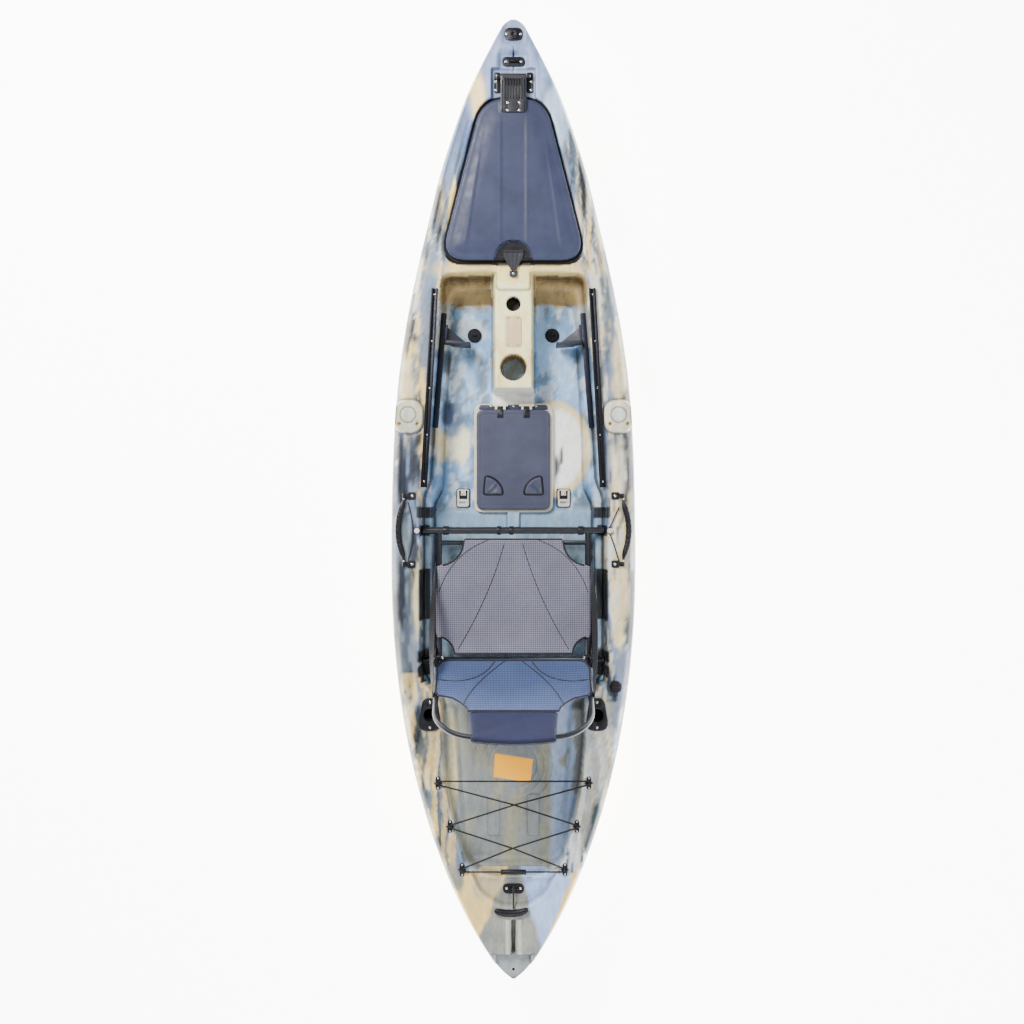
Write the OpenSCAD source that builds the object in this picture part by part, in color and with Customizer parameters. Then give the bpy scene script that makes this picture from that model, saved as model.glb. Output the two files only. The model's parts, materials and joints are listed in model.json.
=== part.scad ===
// Sit-on-top fishing kayak: moulded hull, hatches, rails, foot braces, framed seat and deck fittings.
// Millimetres. +X starboard, +Y bow, +Z up, origin under the middle of the keel.

/* [Hull] */
// overall length
hull_length = 3300; // [2800:50:3900]
// widest beam
beam = 860; // [740:4:900]
// deck height over the keel amidships
deck_height = 300; // [260:5:340]
// how far the bow deck rises
bow_rise = 90; // [40:5:140]
// how far the stern deck rises
stern_rise = 50; // [20:5:100]
// moulded wall thickness
wall = 5; // [4:0.5:8]

/* [Deck wells] */
// cockpit floor height
floor_z = 130; // [110:5:160]
// tank well floor height
tank_z = 195; // [170:5:220]
// console top height
console_z = 285; // [250:5:295]
// cup holder radius
cup_r = 44; // [38:1:50]
// scupper hole radius
scupper_r = 16; // [12:1:20]

/* [Seat] */
// half the width between the seat's side tubes
seat_half = 262; // [230:2:275]
// side tube radius
seat_tube_r = 10; // [8:0.5:12]
// length of the seat back
back_length = 470; // [400:10:520]
// how far the back leans from upright
back_lean = 29; // [15:1:35]

/* [Fittings] */
// rod holder bore radius
rod_bore_r = 22.5; // [20:0.5:25]
// accessory rail width
rail_w = 23; // [20:1:28]
// deck bungee thickness
bungee_d = 6; // [4:0.5:8]
// running clearance round every pin
run = 0.05; // [0.02:0.01:0.1]

/* [Hidden] */
$fn = 32;
gap = 0.4;
half = hull_length / 2;
y_wide = -210;
hatch_y = 836;
hatch_z = deck_height + 4;
hatch_tilt = 4.5;
hatch_len = 550;
lid_pin = [0, 625, 22];
strap_pin = [0, -30, 14.6];
frame_mid = 157;
lid_mid = 150;
frame_z = floor_z + 20;
chatch_pin = [334, frame_z + 13];
latch_pin = [96, 30];
console_y = [389, 736];
plate_y = 593;
rail_a = [273, 740];
rail_b = [311, 50];
plate_bolts = [17.7, 46.5];
track_a = [251, 664];
track_b = [282, 262];
track_z = 205;
plug_x = 139;
plug_y = 596;
seat_front = [-101, 226];
seat_rear = [-560, 207.4];
back_pin = [-548, 232];
back_bend = 140;
rod_x = 290;
rod_y = -740;
rod_tilt = 15;
loops = [[262, -977, 301.5], [220, -1126, 308], [178, -1274, 316.5]];
pad_at = [366, 296];
pad_bolts = [335, 397];
drain = [356, -644];
handle_x = 381;
handle_y = [20, -217];
stern_eye = [0, -1345, 290];

// ---------- curves ----------
function unit(v) = v / norm(v);
function clamp01(s) = max(0, min(1, s));
function ease(s) = let (c = clamp01(s)) c * c * (3 - 2 * c);
function from_middle(y) = y > y_wide ? (y - y_wide) / (half - y_wide) : (y_wide - y) / (half + y_wide);
// the stems are blunter than the curve of the sides, and the bow is full
function stem(y) = y > 0 ? 54 * ease((y - 900) / 250) - 24 * ease((y - 1380) / 200)
    : 13 * ease((abs(y) - 1400) / 200);
function full(y) = 1 + 0.022 * exp(-pow((y - 480) / 350, 2));
function tip(y) = clamp01((abs(y) - half + 26) / 26);
function half_beam(y) = max(16, norm([full(y) * beam / 2 * pow(max(0, 1 - pow(from_middle(y), 2.15)),
    0.76), stem(y)]) * sqrt(1 - tip(y) * tip(y)));
function keel_z(y) = 165 * pow(max(0, (abs(y) - 950) / (half - 950)), 2.1)
    + 95 * pow(max(0, (abs(y) - half + 190) / 190), 2.4);
function sheer_z(y) = deck_height + (y > 0 ? bow_rise * pow(max(0, (y - 760) / (half - 760)), 1.6)
    : stern_rise * pow(max(0, (-y - 800) / (half - 800)), 1.6));
function crown(y) = (y > 0 ? 26 * ease((y - 745) / 205) : 12 * ease((-y - 1290) / 150))
    * min(1, half_beam(y) / 200);
function fine(y) = 1 - 0.45 * pow(from_middle(y), 2);
// control points of the hull's half section, from the keel up to the middle of the deck
function half_section(y, t) = let (b = half_beam(y) - t, k = keel_z(y) + t, s = sheer_z(y) - t,
    h = s - k, f = fine(y)) [[0.3 * f * b, k], [0.62 * f * b, k + 0.02 * h], [(0.55 + 0.3 * f) * b,
    k + 0.1 * h], [0.945 * b, k + 0.28 * h], [0.987 * b, k + 0.52 * h], [b, k + 0.74 * h],
    [0.985 * b, k + 0.88 * h], [0.945 * b, k + 0.97 * h], [0.88 * b, s],
    [0.5 * b, s + 0.75 * crown(y)]];
function section(y, t) = let (p = half_section(y, t), n = len(p)) concat(
    [for (i = [0:n - 1]) [-p[i].x, y, p[i].y]], [[0, y, sheer_z(y) - t + crown(y)]],
    [for (i = [n - 1:-1:0]) [p[i].x, y, p[i].y]]);

// corners of p cut back by d and blended
function soft(p, d, n = 4) = [for (i = [0:len(p) - 1]) let (b = p[i], e = is_list(d) ? d[i] : d,
    u = b + e * unit(p[(i + len(p) - 1) % len(p)] - b), v = b + e * unit(p[(i + 1) % len(p)] - b))
    for (k = [0:n]) let (s = k / n) (1 - s) * (1 - s) * u + 2 * s * (1 - s) * b + s * s * v];
// outline p moved outward by t; p runs anticlockwise
function grow(p, t) = [for (i = [0:len(p) - 1]) let (b = p[i], a = unit(b - p[(i + len(p) - 1) % len(p)]),
    c = unit(p[(i + 1) % len(p)] - b), m = [a.y, -a.x], w = [c.y, -c.x]) b + (m + w) * t / (1 + m * w)];
// starboard half of an outline, given from stern to bow, with its mirror image
function both(h) = concat(h, [for (i = [len(h) - 1:-1:0]) [-h[i].x, h[i].y]]);
function twice(v) = concat(v, [for (i = [len(v) - 1:-1:0]) v[i]]);
function rect(w, l) = [[w, -l], [w, l], [-w, l], [-w, -l]];
function at(p, z) = [for (q = p) [q.x, q.y, z]];

// ---------- building blocks ----------
// solid through a list of rings with equal point counts
module skin(rings) {
    n = len(rings[0]);
    m = len(rings);
    polyhedron(points = [for (r = rings) each r], faces = concat([[for (i = [0:n - 1]) i]],
        [[for (i = [n - 1:-1:0]) (m - 1) * n + i]],
        [for (k = [0:m - 2]) for (i = [0:n - 1]) let (j = (i + 1) % n)
            each [[k * n + i, (k + 1) * n + i, (k + 1) * n + j], [k * n + i, (k + 1) * n + j, k * n + j]]]));
}

module prism(p, z, h) { translate([0, 0, z]) linear_extrude(height = h) polygon(p); }

module rod(a, b, r) {
    v = b - a;
    translate(a) rotate([0, acos(v.z / norm(v)), atan2(v.y, v.x)]) cylinder(h = norm(v), r = r);
}

// round cord along points p
function side_of(v) = let (c = cross(v, [0, 0, 1])) norm(c) < 0.001 ? [1, 0, 0] : unit(c);
module cord(p, r, sides = 10) {
    last = len(p) - 1;
    skin([for (i = [0:last]) let (v = unit(p[min(i + 1, last)] - p[max(i - 1, 0)]), a = side_of(v),
        b = cross(v, a)) [for (k = [0:sides - 1]) p[i] + r * (a * cos(360 * k / sides)
            + b * sin(360 * k / sides))]]);
}

module pair() { children(); mirror([1, 0, 0]) children(); }
module on_hatch() { translate([0, hatch_y, hatch_z]) rotate([hatch_tilt, 0, 0]) children(); }
module on_back() { translate([0, back_pin.x, back_pin.y]) rotate([back_lean, 0, 0]) children(); }
module in_rod_holder() { translate([rod_x, rod_y, deck_height]) rotate([rod_tilt, 0, 0]) children(); }
module along(a, b, z) { translate([a.x, a.y, z]) rotate([0, 0, atan2(b.x - a.x, a.y - b.y)]) children(); }
module screw(z, head = 4.6) {
    translate([0, 0, z]) cylinder(h = 2.4, r = head);
    translate([0, 0, z - 16]) cylinder(h = 16, r = 2.3);
}

// ---------- hull ----------
hull_half = both([[45, -1306], [112, -1290], [165, -1250], [200, -1126], [232, -977], [243, -829],
    [245, -690], [318, -612], [318, 20], [294, 70], [282, 272], [250, 685], [245, 786], [84, 791]]);
hull_blend = twice([18, 25, 30, 40, 40, 30, 25, 30, 24, 24, 60, 12, 30, 12]);
floor_top = both([[270, -600], [292, -560], [292, 0], [268, 60], [262, 272], [234, 690], [228, 768],
    [96, 774]]);
floor_low = both([[255, -585], [280, -545], [280, -10], [250, 50], [244, 262], [221, 640], [212, 702],
    [106, 706]]);
floor_blend = twice([14, 14, 12, 12, 40, 20, 26, 10]);
lid_line = [[252, 0], [108, hatch_len], [-108, hatch_len], [-252, 0]];
lid_blend = [95, 85, 85, 95];

module hatch_land(t) {
    on_hatch() {
        prism(soft(grow(lid_line, 8 + t), lid_blend), -t, 140);
        prism(grow([[75, 500], [75, 652], [-75, 652], [-75, 500]], t), -t, 140);
    }
}

module console(t) {
    low = grow([[76, console_y.x - 8], [76, 900], [-76, 900], [-76, console_y.x - 8]], -t);
    top = grow([[66, console_y.x], [66, 900], [-66, 900], [-66, console_y.x]], -t);
    skin([at(soft(low, 12), floor_z - t - 1), at(soft(top, 12), console_z - t)]);
    prism(grow([[58, console_y.y], [58, 900], [-58, 900], [-58, console_y.y]], -t), 200, 108 - t);
}

// everything open to the sky, grown by t
module wells(t) {
    difference() {
        union() {
            prism(soft(grow(hull_half, t), hull_blend), tank_z - t, 300);
            skin([at(soft(grow(floor_low, t), floor_blend), floor_z - t),
                at(soft(grow(floor_top, t), floor_blend), tank_z + 20)]);
        }
        console(t);
    }
    // rear shelf behind the tank well
    prism(soft(grow(both([[45, -1395], [112, -1352], [150, -1280]]), t), 20), 290 - t, 200);
    hatch_land(t);
    // flat for the latch strap
    translate([0, 808, 0]) prism(grow(rect(58, 46), t), 308 - t, 60);
    // console holes
    translate([0, 690, 225 - t]) cylinder(h = 200, r = 24 + t);
    translate([0, 469, floor_z + 12 - t]) cylinder(h = 300, r = cup_r + t);
    pair() {
        translate([plug_x, plug_y, -20]) cylinder(h = 300, r = scupper_r + t);
        // threaded inserts in the oval bosses
        for (x = pad_bolts) translate([x, pad_at.y - 25, 294 - t]) cylinder(h = 60, r = 5 + t);
        // seat tube notches and side recesses
        for (n = [[-38, 213], [seat_front.x, 213], [seat_rear.x, 196]]) translate([0, n.x, n.y - t])
            linear_extrude(height = 200) polygon(grow([[306, -15], [324, -15], [324, 15], [306, 15]], t));
        prism(grow([[300, -412], [328, -412], [328, -240], [300, -240]], t), 262 - t, 200);
        // flats for deck loops
        for (l = loops) {
            translate([l.x, l.y, l.z - t]) cylinder(h = 60, r = 27 + t);
            translate([l.x - 30, l.y, 0]) prism(grow(rect(30, 15), t), l.z - t, 60);
        }
        // flats under the rails and the rod holders
        along(rail_a, rail_b, 0) prism(grow([[13, -rail_len - 2], [13, 2], [-13, 2], [-13, -rail_len - 2]], t),
            deck_height - t, 60);
        translate([rod_x, rod_y, 0]) prism(grow(rect(43, 58), t), deck_height - t, 60);
    }
    translate([drain.x, drain.y, 294 - t]) cylinder(h = 60, r = 21 + t);
    // inserts in the console top
    for (x = [-1, 1], y = [-1, 1]) translate([x * plate_bolts.x, plate_y + y * plate_bolts.y, 268 - t])
        cylinder(h = 60, r = 4 + t);
    // stern flat, slot and rudder hole, bow flats
    prism(grow([[-40, -1700], [40, -1700], [40, -1562], [-40, -1562]], t), 318 - t, 100);
    prism(soft(grow([[-7, -1558], [7, -1558], [7, -1441], [-7, -1441]], t), 6), 300 - t, 100);
    translate([0, -1620, 268 - t]) cylinder(h = 100, r = 4.5 + t);
    prism(soft(grow([[-50, 1478], [50, 1478], [50, 1538], [-50, 1538]], t), 8), 363 - t, 60);
    prism(soft(grow([[-36, 1571], [36, 1571], [36, 1660], [-36, 1660]], t), 8), 377 - t, 60);
}

module outer() {
    n = 30;
    skin([for (j = [0:n]) section(-half * cos(180 * j / n), 0)]);
    // oval bosses on the side decks
    pair() translate([pad_at.x, pad_at.y, 0]) skin([at(soft(rect(24, 40), 20), 150),
        at(soft(rect(50, 56), 46), 262), at(soft(rect(50, 56), 46), 306)]);
}

module cavity() {
    n = 24;
    difference() {
        skin([for (j = [0:n]) section(-(half - 50) * cos(180 * j / n), wall)]);
        wells(wall);
    }
}

module hull() {
    color("tan") difference() {
        outer();
        wells(0);
        cavity();
        // hatch openings and rod holder holes
        on_hatch() prism(soft(grow(lid_line, -24), [80, 66, 66, 80]), -60, 100);
        translate([0, lid_mid, floor_z - 40]) linear_extrude(height = 80)
            polygon(soft(rect(112, 157), 20));
        pair() in_rod_holder() translate([0, 0, -60]) cylinder(h = 120, r = 27.5);
        translate([drain.x, drain.y, 240]) cylinder(h = 80, r = 15);
    }
}

// ---------- bow hatch ----------
module bow_gasket() {
    color("dimgray") on_hatch() difference() {
        prism(soft(grow(lid_line, -4), lid_blend), 0, 2.9);
        prism(soft(grow(lid_line, -19), [82, 70, 70, 82]), -1, 5);
    }
}

module lid_shape(inset, drop) {
    skin([at(soft(grow(lid_line, -inset), lid_blend), 3.3 - drop / 4),
        at(soft(grow(lid_line, -inset), lid_blend), 14 - drop),
        at(soft(grow(lid_line, -inset - 14), lid_blend), 20 - drop),
        at(soft(grow(lid_line, -inset - 70), [70, 44, 44, 70]), 25 - drop)]);
}

module bow_lid() {
    color("darkslategray") on_hatch() difference() {
        union() {
            difference() {
                lid_shape(0, 0);
                lid_shape(5, 5);
            }
            // pads under the latch strap and the hinge leaf
            translate([0, 22, 0]) prism(rect(48, 22), 6, 7);
            translate([0, 524, 0]) prism(rect(46, 23), 10, 15);
        }
        translate([0, 16, 10.8]) linear_extrude(height = 40) polygon(soft(rect(43, 24), 14));
        for (x = [-20, 20], y = [508, 534]) translate([x, y, 0]) cylinder(h = 60, r = 2.3);
    }
}

module bow_hinge_leaf() {
    color("black") on_hatch() difference() {
        union() {
            translate([-44, lid_pin.y, lid_pin.z]) rotate([0, 90, 0]) cylinder(h = 88, r = 8);
            translate([0, 0, 25]) linear_extrude(height = 5)
                polygon(soft([[44, 502], [44, 625], [-44, 625], [-44, 502]], [14, 2, 2, 14]));
        }
        translate([-28, 590, 24]) cube([56, 24, 10]);
        translate([-50, lid_pin.y, lid_pin.z]) rotate([0, 90, 0]) cylinder(h = 100, r = 4 + run);
        for (x = [-20, 20], y = [508, 534]) translate([x, y, 0]) cylinder(h = 60, r = 2.3);
    }
}

module bow_lid_screws() {
    color("silver") on_hatch() for (x = [-20, 20], y = [508, 534]) translate([x, y, 0]) screw(30);
}

module bow_hinge_brackets() {
    color("black") on_hatch() pair() difference() {
        union() {
            prism(soft([[46, 571], [67, 571], [67, 640], [46, 640]], 6), 0, 5);
            translate([46, lid_pin.y, lid_pin.z]) rotate([0, 90, 0]) cylinder(h = 10, r = 9);
            translate([46, lid_pin.y - 9, 0]) cube([10, 18, lid_pin.z]);
        }
        translate([40, lid_pin.y, lid_pin.z]) rotate([0, 90, 0]) cylinder(h = 30, r = 4);
        for (y = [580, 608]) translate([61, y, -1]) cylinder(h = 20, r = 2.3);
    }
}

module bow_hinge_pin() {
    color("silver") on_hatch() translate([-59, lid_pin.y, lid_pin.z]) rotate([0, 90, 0])
        cylinder(h = 118, r = 4);
}

module latch_strap() {
    color("dimgray") on_hatch() translate(strap_pin) {
        translate([-11, 0, 0]) rotate([0, 90, 0]) cylinder(h = 22, r = 3.4);
        prism(soft([[11, 0], [34, 42], [37, 66], [-37, 66], [-34, 42], [-11, 0]], [1, 8, 5, 5, 8, 1]),
            -3.4, 6.8);
        translate([0, 61, 0]) prism(rect(32, 3), 0, 9);
    }
}

module latch_tail() {
    color("dimgray") difference() {
        prism(soft([[14, 778], [14, 800], [-14, 800], [-14, 778]], [10, 3, 3, 10]), 308, 4.3);
        translate([0, 790, 300]) cylinder(h = 20, r = 2.3);
    }
}

// ---------- bow and stern fittings ----------
module padeye(w, l) {
    difference() {
        prism(soft(rect(w, l), l * 0.98), 0, 4);
        for (x = [-1, 1]) translate([x * (w - 13), 0, -1]) cylinder(h = 9, r = 2.3);
    }
    translate([0, 0, 4]) rotate([90, 0, 0]) rotate_extrude(angle = 180) translate([13, 0]) circle(4);
}

module bow_padeye() { color("black") translate([0, 1508, 363]) padeye(39.5, 16.5); }
module stern_padeye() { color("black") translate([0, stern_eye.y, stern_eye.z]) padeye(37, 17); }

module nose_fitting() {
    color("black") translate([0, 1598, 377]) difference() {
        union() {
            prism(soft(rect(31, 22), 20), 0, 5);
            prism(soft(rect(14, 16), 12), 5, 4);
        }
        for (x = [-24, 24]) translate([x, 0, -1]) cylinder(h = 9, r = 2.3);
        translate([0, 0, 4]) cylinder(h = 9, r = 6);
    }
}

module stern_toggle() {
    color("black") translate([-7, -1414, 351]) {
        rotate([0, 90, 0]) translate([0, 0, -26]) cylinder(h = 52, r = 11);
        rod([26, 0, 0], [52, 10, 0], 10);
        rod([-26, 0, 0], [-52, 4, 0], 10);
        translate([26, 0, 0]) sphere(10.9);
        translate([-26, 0, 0]) sphere(10.9);
    }
}

module toggle_cord() {
    color("dimgray") translate([0, stern_eye.y, stern_eye.z + 17]) {
        rotate([90, 0, 90]) rotate_extrude() translate([7.6, 0]) circle(3, $fn = 16);
        cord([[0, -9, 2], [0, -20, 6], [0, -31, 16], [0, -40, 30], [0, -48, 40], [0, -57.4, 43.2]], 3);
    }
}

// ---------- console and centre hatch ----------
module insert_plate() {
    color("black") difference() {
        translate([0, plate_y, 0]) prism(soft(rect(27.5, 53.5), 8), console_z, 3);
        for (x = [-1, 1], y = [-1, 1])
            translate([x * plate_bolts.x, plate_y + y * plate_bolts.y, 270]) cylinder(h = 30, r = 4);
    }
}

module insert_ring(r, bore, h) {
    difference() {
        cylinder(h = h, r = r);
        translate([0, 0, -1]) cylinder(h = h + 2, r = bore);
    }
}

module brass_inserts() {
    color("goldenrod") for (x = [-1, 1], y = [-1, 1])
        translate([x * plate_bolts.x, plate_y + y * plate_bolts.y, 268]) insert_ring(4, 2.5, 20);
}

module pad_inserts() {
    color("goldenrod") pair() for (x = pad_bolts) translate([x, pad_at.y - 25, 294])
        insert_ring(5, 3, 12);
}

module knuckle(x, w, bore) {
    translate([x, chatch_pin.x, chatch_pin.y]) rotate([0, 90, 0]) difference() {
        cylinder(h = w, r = 6);
        translate([0, 0, -1]) cylinder(h = w + 2, r = bore);
    }
}

module centre_hatch_frame() {
    color("dimgray") {
        difference() {
            union() {
                translate([0, frame_mid, 0]) prism(soft(rect(140, 193.5), 30), floor_z, 20);
                pair() translate([20, 341, floor_z]) cube([54, 8, 39]);
                pair() for (x = [28, 58]) translate([x, chatch_pin.x, frame_z + 7]) cube([8, 8, 11]);
            }
            translate([0, lid_mid, 0]) prism(soft(rect(114, 160), 22), floor_z - 1, 30);
            pair() translate([26, chatch_pin.x, chatch_pin.y]) rotate([0, 90, 0])
                cylinder(h = 42, r = 6);
            for (x = [-76, 0, 76]) translate([x, -24, floor_z - 1]) cylinder(h = 60, r = 2.3);
        }
        pair() for (x = [28, 58]) knuckle(x, 8, 2.5);
    }
}

module centre_hatch_gasket() {
    color("black") translate([0, lid_mid, 0]) difference() {
        prism(soft(rect(123, 169), 25), frame_z, 2.6);
        prism(soft(rect(117, 163), 23), frame_z - 1, 5);
    }
}

module centre_hinge_pin() {
    color("silver") pair() translate([28, chatch_pin.x, chatch_pin.y]) rotate([0, 90, 0])
        cylinder(h = 38, r = 2.5);
}

module centre_lid() {
    color("darkslategray") difference() {
        translate([0, 149.8, 0]) prism(soft(rect(131, 177.8), 26), frame_z + 3, 12);
        translate([0, lid_mid, 0]) prism(soft(rect(110, 155), 22), frame_z + 2, 8);
        pair() translate([latch_pin.x, latch_pin.y, frame_z]) cylinder(h = 30, r = 7 + run);
        for (s = [-1, 1], x = [41, 53]) translate([s * x, 310, frame_z]) cylinder(h = 30, r = 1.8);
    }
}

module centre_lid_knuckles() {
    color("black") pair() {
        knuckle(36.5, 21, 2.5 + run);
        difference() {
            translate([36.5, 300, frame_z + 15]) cube([21, 30, 3]);
            for (x = [41, 53]) translate([x, 310, frame_z]) cylinder(h = 30, r = 1.8);
        }
        for (x = [41, 53]) translate([x, 310, frame_z + 8]) cylinder(h = 11, r = 1.8);
    }
}

module centre_latch_right() {
    color("gray") translate([latch_pin.x, latch_pin.y, frame_z + 15.4]) {
        intersection() {
            cylinder(h = 6, r = 60);
            translate([-70, -8, -1]) cube([78, 78, 10]);
        }
        rotate([0, 0, 135]) translate([8, -4, 0]) cube([40, 8, 10]);
        translate([0, 0, -11]) cylinder(h = 12, r = 7);
        translate([-34, -6, -12]) cube([40, 12, 4]);
    }
}

module centre_latch_left() { mirror([1, 0, 0]) centre_latch_right(); }

module strap_anchors() {
    color("black") pair() translate([181, 14, 0]) difference() {
        prism(soft(rect(20.5, 31), 8), floor_z, 4);
        translate([0, -16, 0]) prism(rect(14, 3.5), floor_z - 1, 6);
        translate([0, 16, floor_z - 1]) cylinder(h = 9, r = 2.3);
    }
}

// ---------- rails and foot braces ----------
rail_len = norm(rail_b - rail_a);
rail_screws = [for (i = [0:4]) -20 - i * (rail_len - 40) / 4];
track_len = norm(track_b - track_a);

module accessory_rails() {
    color("#222222") pair() along(rail_a, rail_b, deck_height) difference() {
        rotate([90, 0, 0]) linear_extrude(height = rail_len) polygon([[-rail_w / 2, 0], [rail_w / 2, 0],
            [rail_w / 2, 13], [4.5, 13], [4.5, 10], [8.5, 10], [8.5, 3], [-8.5, 3], [-8.5, 10],
            [-4.5, 10], [-4.5, 13], [-rail_w / 2, 13]]);
        for (y = rail_screws) translate([0, y, -1]) cylinder(h = 9, r = 2.3);
    }
}

module foot_brace_tracks() {
    color("silver") pair() along(track_a, track_b, track_z) rotate([90, 0, 0])
        linear_extrude(height = track_len) polygon([[0, 0], [0, 32], [-16, 32], [-16, 22], [-12, 22],
            [-12, 28], [-4, 28], [-4, 4], [-12, 4], [-12, 10], [-16, 10], [-16, 0]]);
}

module pedal_right() {
    color("dimgray") along(track_a, track_b, track_z) {
        translate([-11.6, -104, 4.4]) cube([7.2, 62, 23.2]);
        translate([-18, -104, 10.4]) cube([8, 62, 11.2]);
        translate([-24, -108, 0]) cube([7.5, 68, 32]);
        translate([0, -98, -track_z]) rotate([90, 0, 0]) linear_extrude(height = 10)
            polygon(soft([[-108, 152], [-46, 152], [-32, 200], [-18, 205], [-18, 268], [-108, 268]],
                [10, 10, 5, 3, 14, 14]));
        prism([[-20, -46], [-96, -99], [-20, -99]], 12, 6);
    }
}

module pedal_left() { mirror([1, 0, 0]) pedal_right(); }

module scupper_plug_right() {
    color("black") translate([plug_x, plug_y, floor_z]) {
        cylinder(h = 6, r = 25);
        translate([0, 0, 6]) cylinder(h = 3, r = 20);
        translate([0, 0, 9]) rotate([90, 0, 0]) rotate_extrude(angle = 180) translate([7, 0]) circle(2.4);
        translate([0, 0, -55]) cylinder(h = 55, r = scupper_r - 0.08);
    }
}

module scupper_plug_left() { mirror([1, 0, 0]) scupper_plug_right(); }

// ---------- side deck fittings ----------
module rod_holders() {
    color("black") pair() difference() {
        union() {
            translate([rod_x, rod_y, 0]) prism(soft([[43, -56], [25, 58], [-25, 58], [-43, -56]],
                [36, 22, 22, 36]), deck_height, 6);
            in_rod_holder() translate([0, 0, -195]) cylinder(h = 196, r = 26.5);
        }
        in_rod_holder() translate([0, 0, -190]) cylinder(h = 230, r = rod_bore_r);
        for (y = [-44, 44]) translate([rod_x, rod_y + y, deck_height - 1]) cylinder(h = 9, r = 2.3);
    }
}

module drain_housing() {
    color("black") translate([drain.x, drain.y, 0]) difference() {
        union() {
            translate([0, 0, 294]) cylinder(h = 5, r = 20.5);
            translate([0, 0, 278]) cylinder(h = 16, r = 15);
        }
        translate([0, 0, 270]) cylinder(h = 40, r = 11 + run);
    }
}

module drain_plug() {
    color("black") translate([drain.x, drain.y, 0]) {
        translate([0, 0, 299.4]) cylinder(h = 4, r = 16);
        translate([0, 0, 281]) cylinder(h = 19, r = 11);
        translate([-14, -2.5, 303]) cube([28, 5, 6]);
    }
}

module handle_anchors() {
    color("black") pair() for (y = handle_y) difference() {
        union() {
            translate([354, y, 0]) prism(soft(rect(14, 13), 6), deck_height, 4);
            translate([362, y - 8, 301]) cube([19, 16, 3]);
            translate([handle_x, y - 8, 306]) rotate([-90, 0, 0]) cylinder(h = 16, r = 5);
        }
        translate([handle_x, y - 9, 306]) rotate([-90, 0, 0]) cylinder(h = 18, r = 2.5);
        translate([352, y, deck_height - 1]) cylinder(h = 9, r = 2.3);
    }
}

module handle_pins() {
    color("silver") pair() {
        translate([handle_x, -1, 306]) rotate([-90, 0, 0]) cylinder(h = 29, r = 2.5);
        translate([handle_x, handle_y.y - 8, 306]) rotate([-90, 0, 0]) cylinder(h = 29, r = 2.5);
    }
}

module handle_right() {
    color("black") difference() {
        union() {
            for (y = [0, -208]) translate([handle_x, y, 306]) rotate([-90, 0, 0])
                cylinder(h = 11.5, r = 5);
            for (y = [5.75, -202.25]) rod([handle_x, y, 306], [401, y, 304.5], 4);
            rod([401, -206.2, 304.5], [401, 9.7, 304.5], 4);
            rod([401, -160, 304.5], [401, -40, 304.5], 10);
        }
        translate([handle_x, -209, 306]) rotate([-90, 0, 0]) cylinder(h = 230, r = 2.5 + run);
    }
}

module handle_left() { mirror([1, 0, 0]) handle_right(); }

module paddle_buttons() {
    color("black") pair() translate([335, -101, deck_height]) {
        cylinder(h = 4, r = 9);
        cylinder(h = 10, r = 4);
        translate([0, 0, 9.4]) cylinder(h = 4, r = 9);
    }
}

module paddle_cord_right() {
    color("black") cord([[366, -20, 297], [365, -25, 301.5], [361, -32, 302.8], [352, -52, 304],
        [340, -78, 306], [332, -92, 306.7], [328.4, -101, 306.7], [332, -110, 306.7], [340, -126, 306],
        [352, -160, 304], [361, -190, 302.8], [365, -201, 301.5], [366, -206, 297]], 2.2);
}

module paddle_cord_left() {
    color("black") cord([for (i = [0:12]) let (s = i / 12) [-366 + 17 * sin(180 * s), -2 - 204 * s,
        i == 0 || i == 12 ? 297 : i == 1 || i == 11 ? 301.5 : 302.6]], 2.2);
}

module deck_loops() {
    color("black") pair() for (l = loops) translate(l) difference() {
        union() {
            prism(soft(rect(8, 22), 7), 0, 3);
            translate([0, 0, 3]) rotate([90, 0, 0]) rotate_extrude(angle = 180)
                translate([11, 0]) circle(3);
        }
        for (y = [-17, 17]) translate([0, y, -1]) cylinder(h = 9, r = 1.9);
    }
}

// turns of the cord round the inner foot of loop i on side s, from north (1) or south (-1)
function turn(i, s, from) = let (l = loops[i]) [for (a = [80, 40, 0, -40, -80])
    [s * (l.x - 9 + 7 * cos(a)), l.y + from * 7 * sin(a), l.z + 3.4 + bungee_d / 2]];
function hump(i, j, rise) = [0, (loops[i].y + loops[j].y) / 2, (loops[i].z + loops[j].z) / 2
    + 3.4 + bungee_d / 2 + rise];

module tank_bungee() {
    tail = [38, loops[2].y - 6.9, loops[2].z + 3.4 + bungee_d / 2];
    color("black") cord(concat([tail], turn(2, 1, -1), [hump(1, 2, 4.5)], turn(1, -1, -1),
        [hump(0, 1, 4.5)], turn(0, 1, -1), turn(0, -1, 1), [hump(0, 1, -4.5)], turn(1, 1, 1),
        [hump(1, 2, -4.5)], turn(2, -1, 1), [[-tail.x, tail.y, tail.z]]), bungee_d / 2);
}

module bungee_connector() {
    color("black") translate([0, loops[2].y - 6.9, loops[2].z + 3.4 + bungee_d / 2]) rotate([0, 90, 0])
        difference() {
            translate([0, 0, -44]) cylinder(h = 88, r = 9);
            for (z = [-45, 37]) translate([0, 0, z]) cylinder(h = 8, r = bungee_d / 2);
        }
}

module hull_label() {
    color("orangered") prism([[-70, -974], [60, -994], [69, -912], [-65, -891]], tank_z, 0.8);
}

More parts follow.
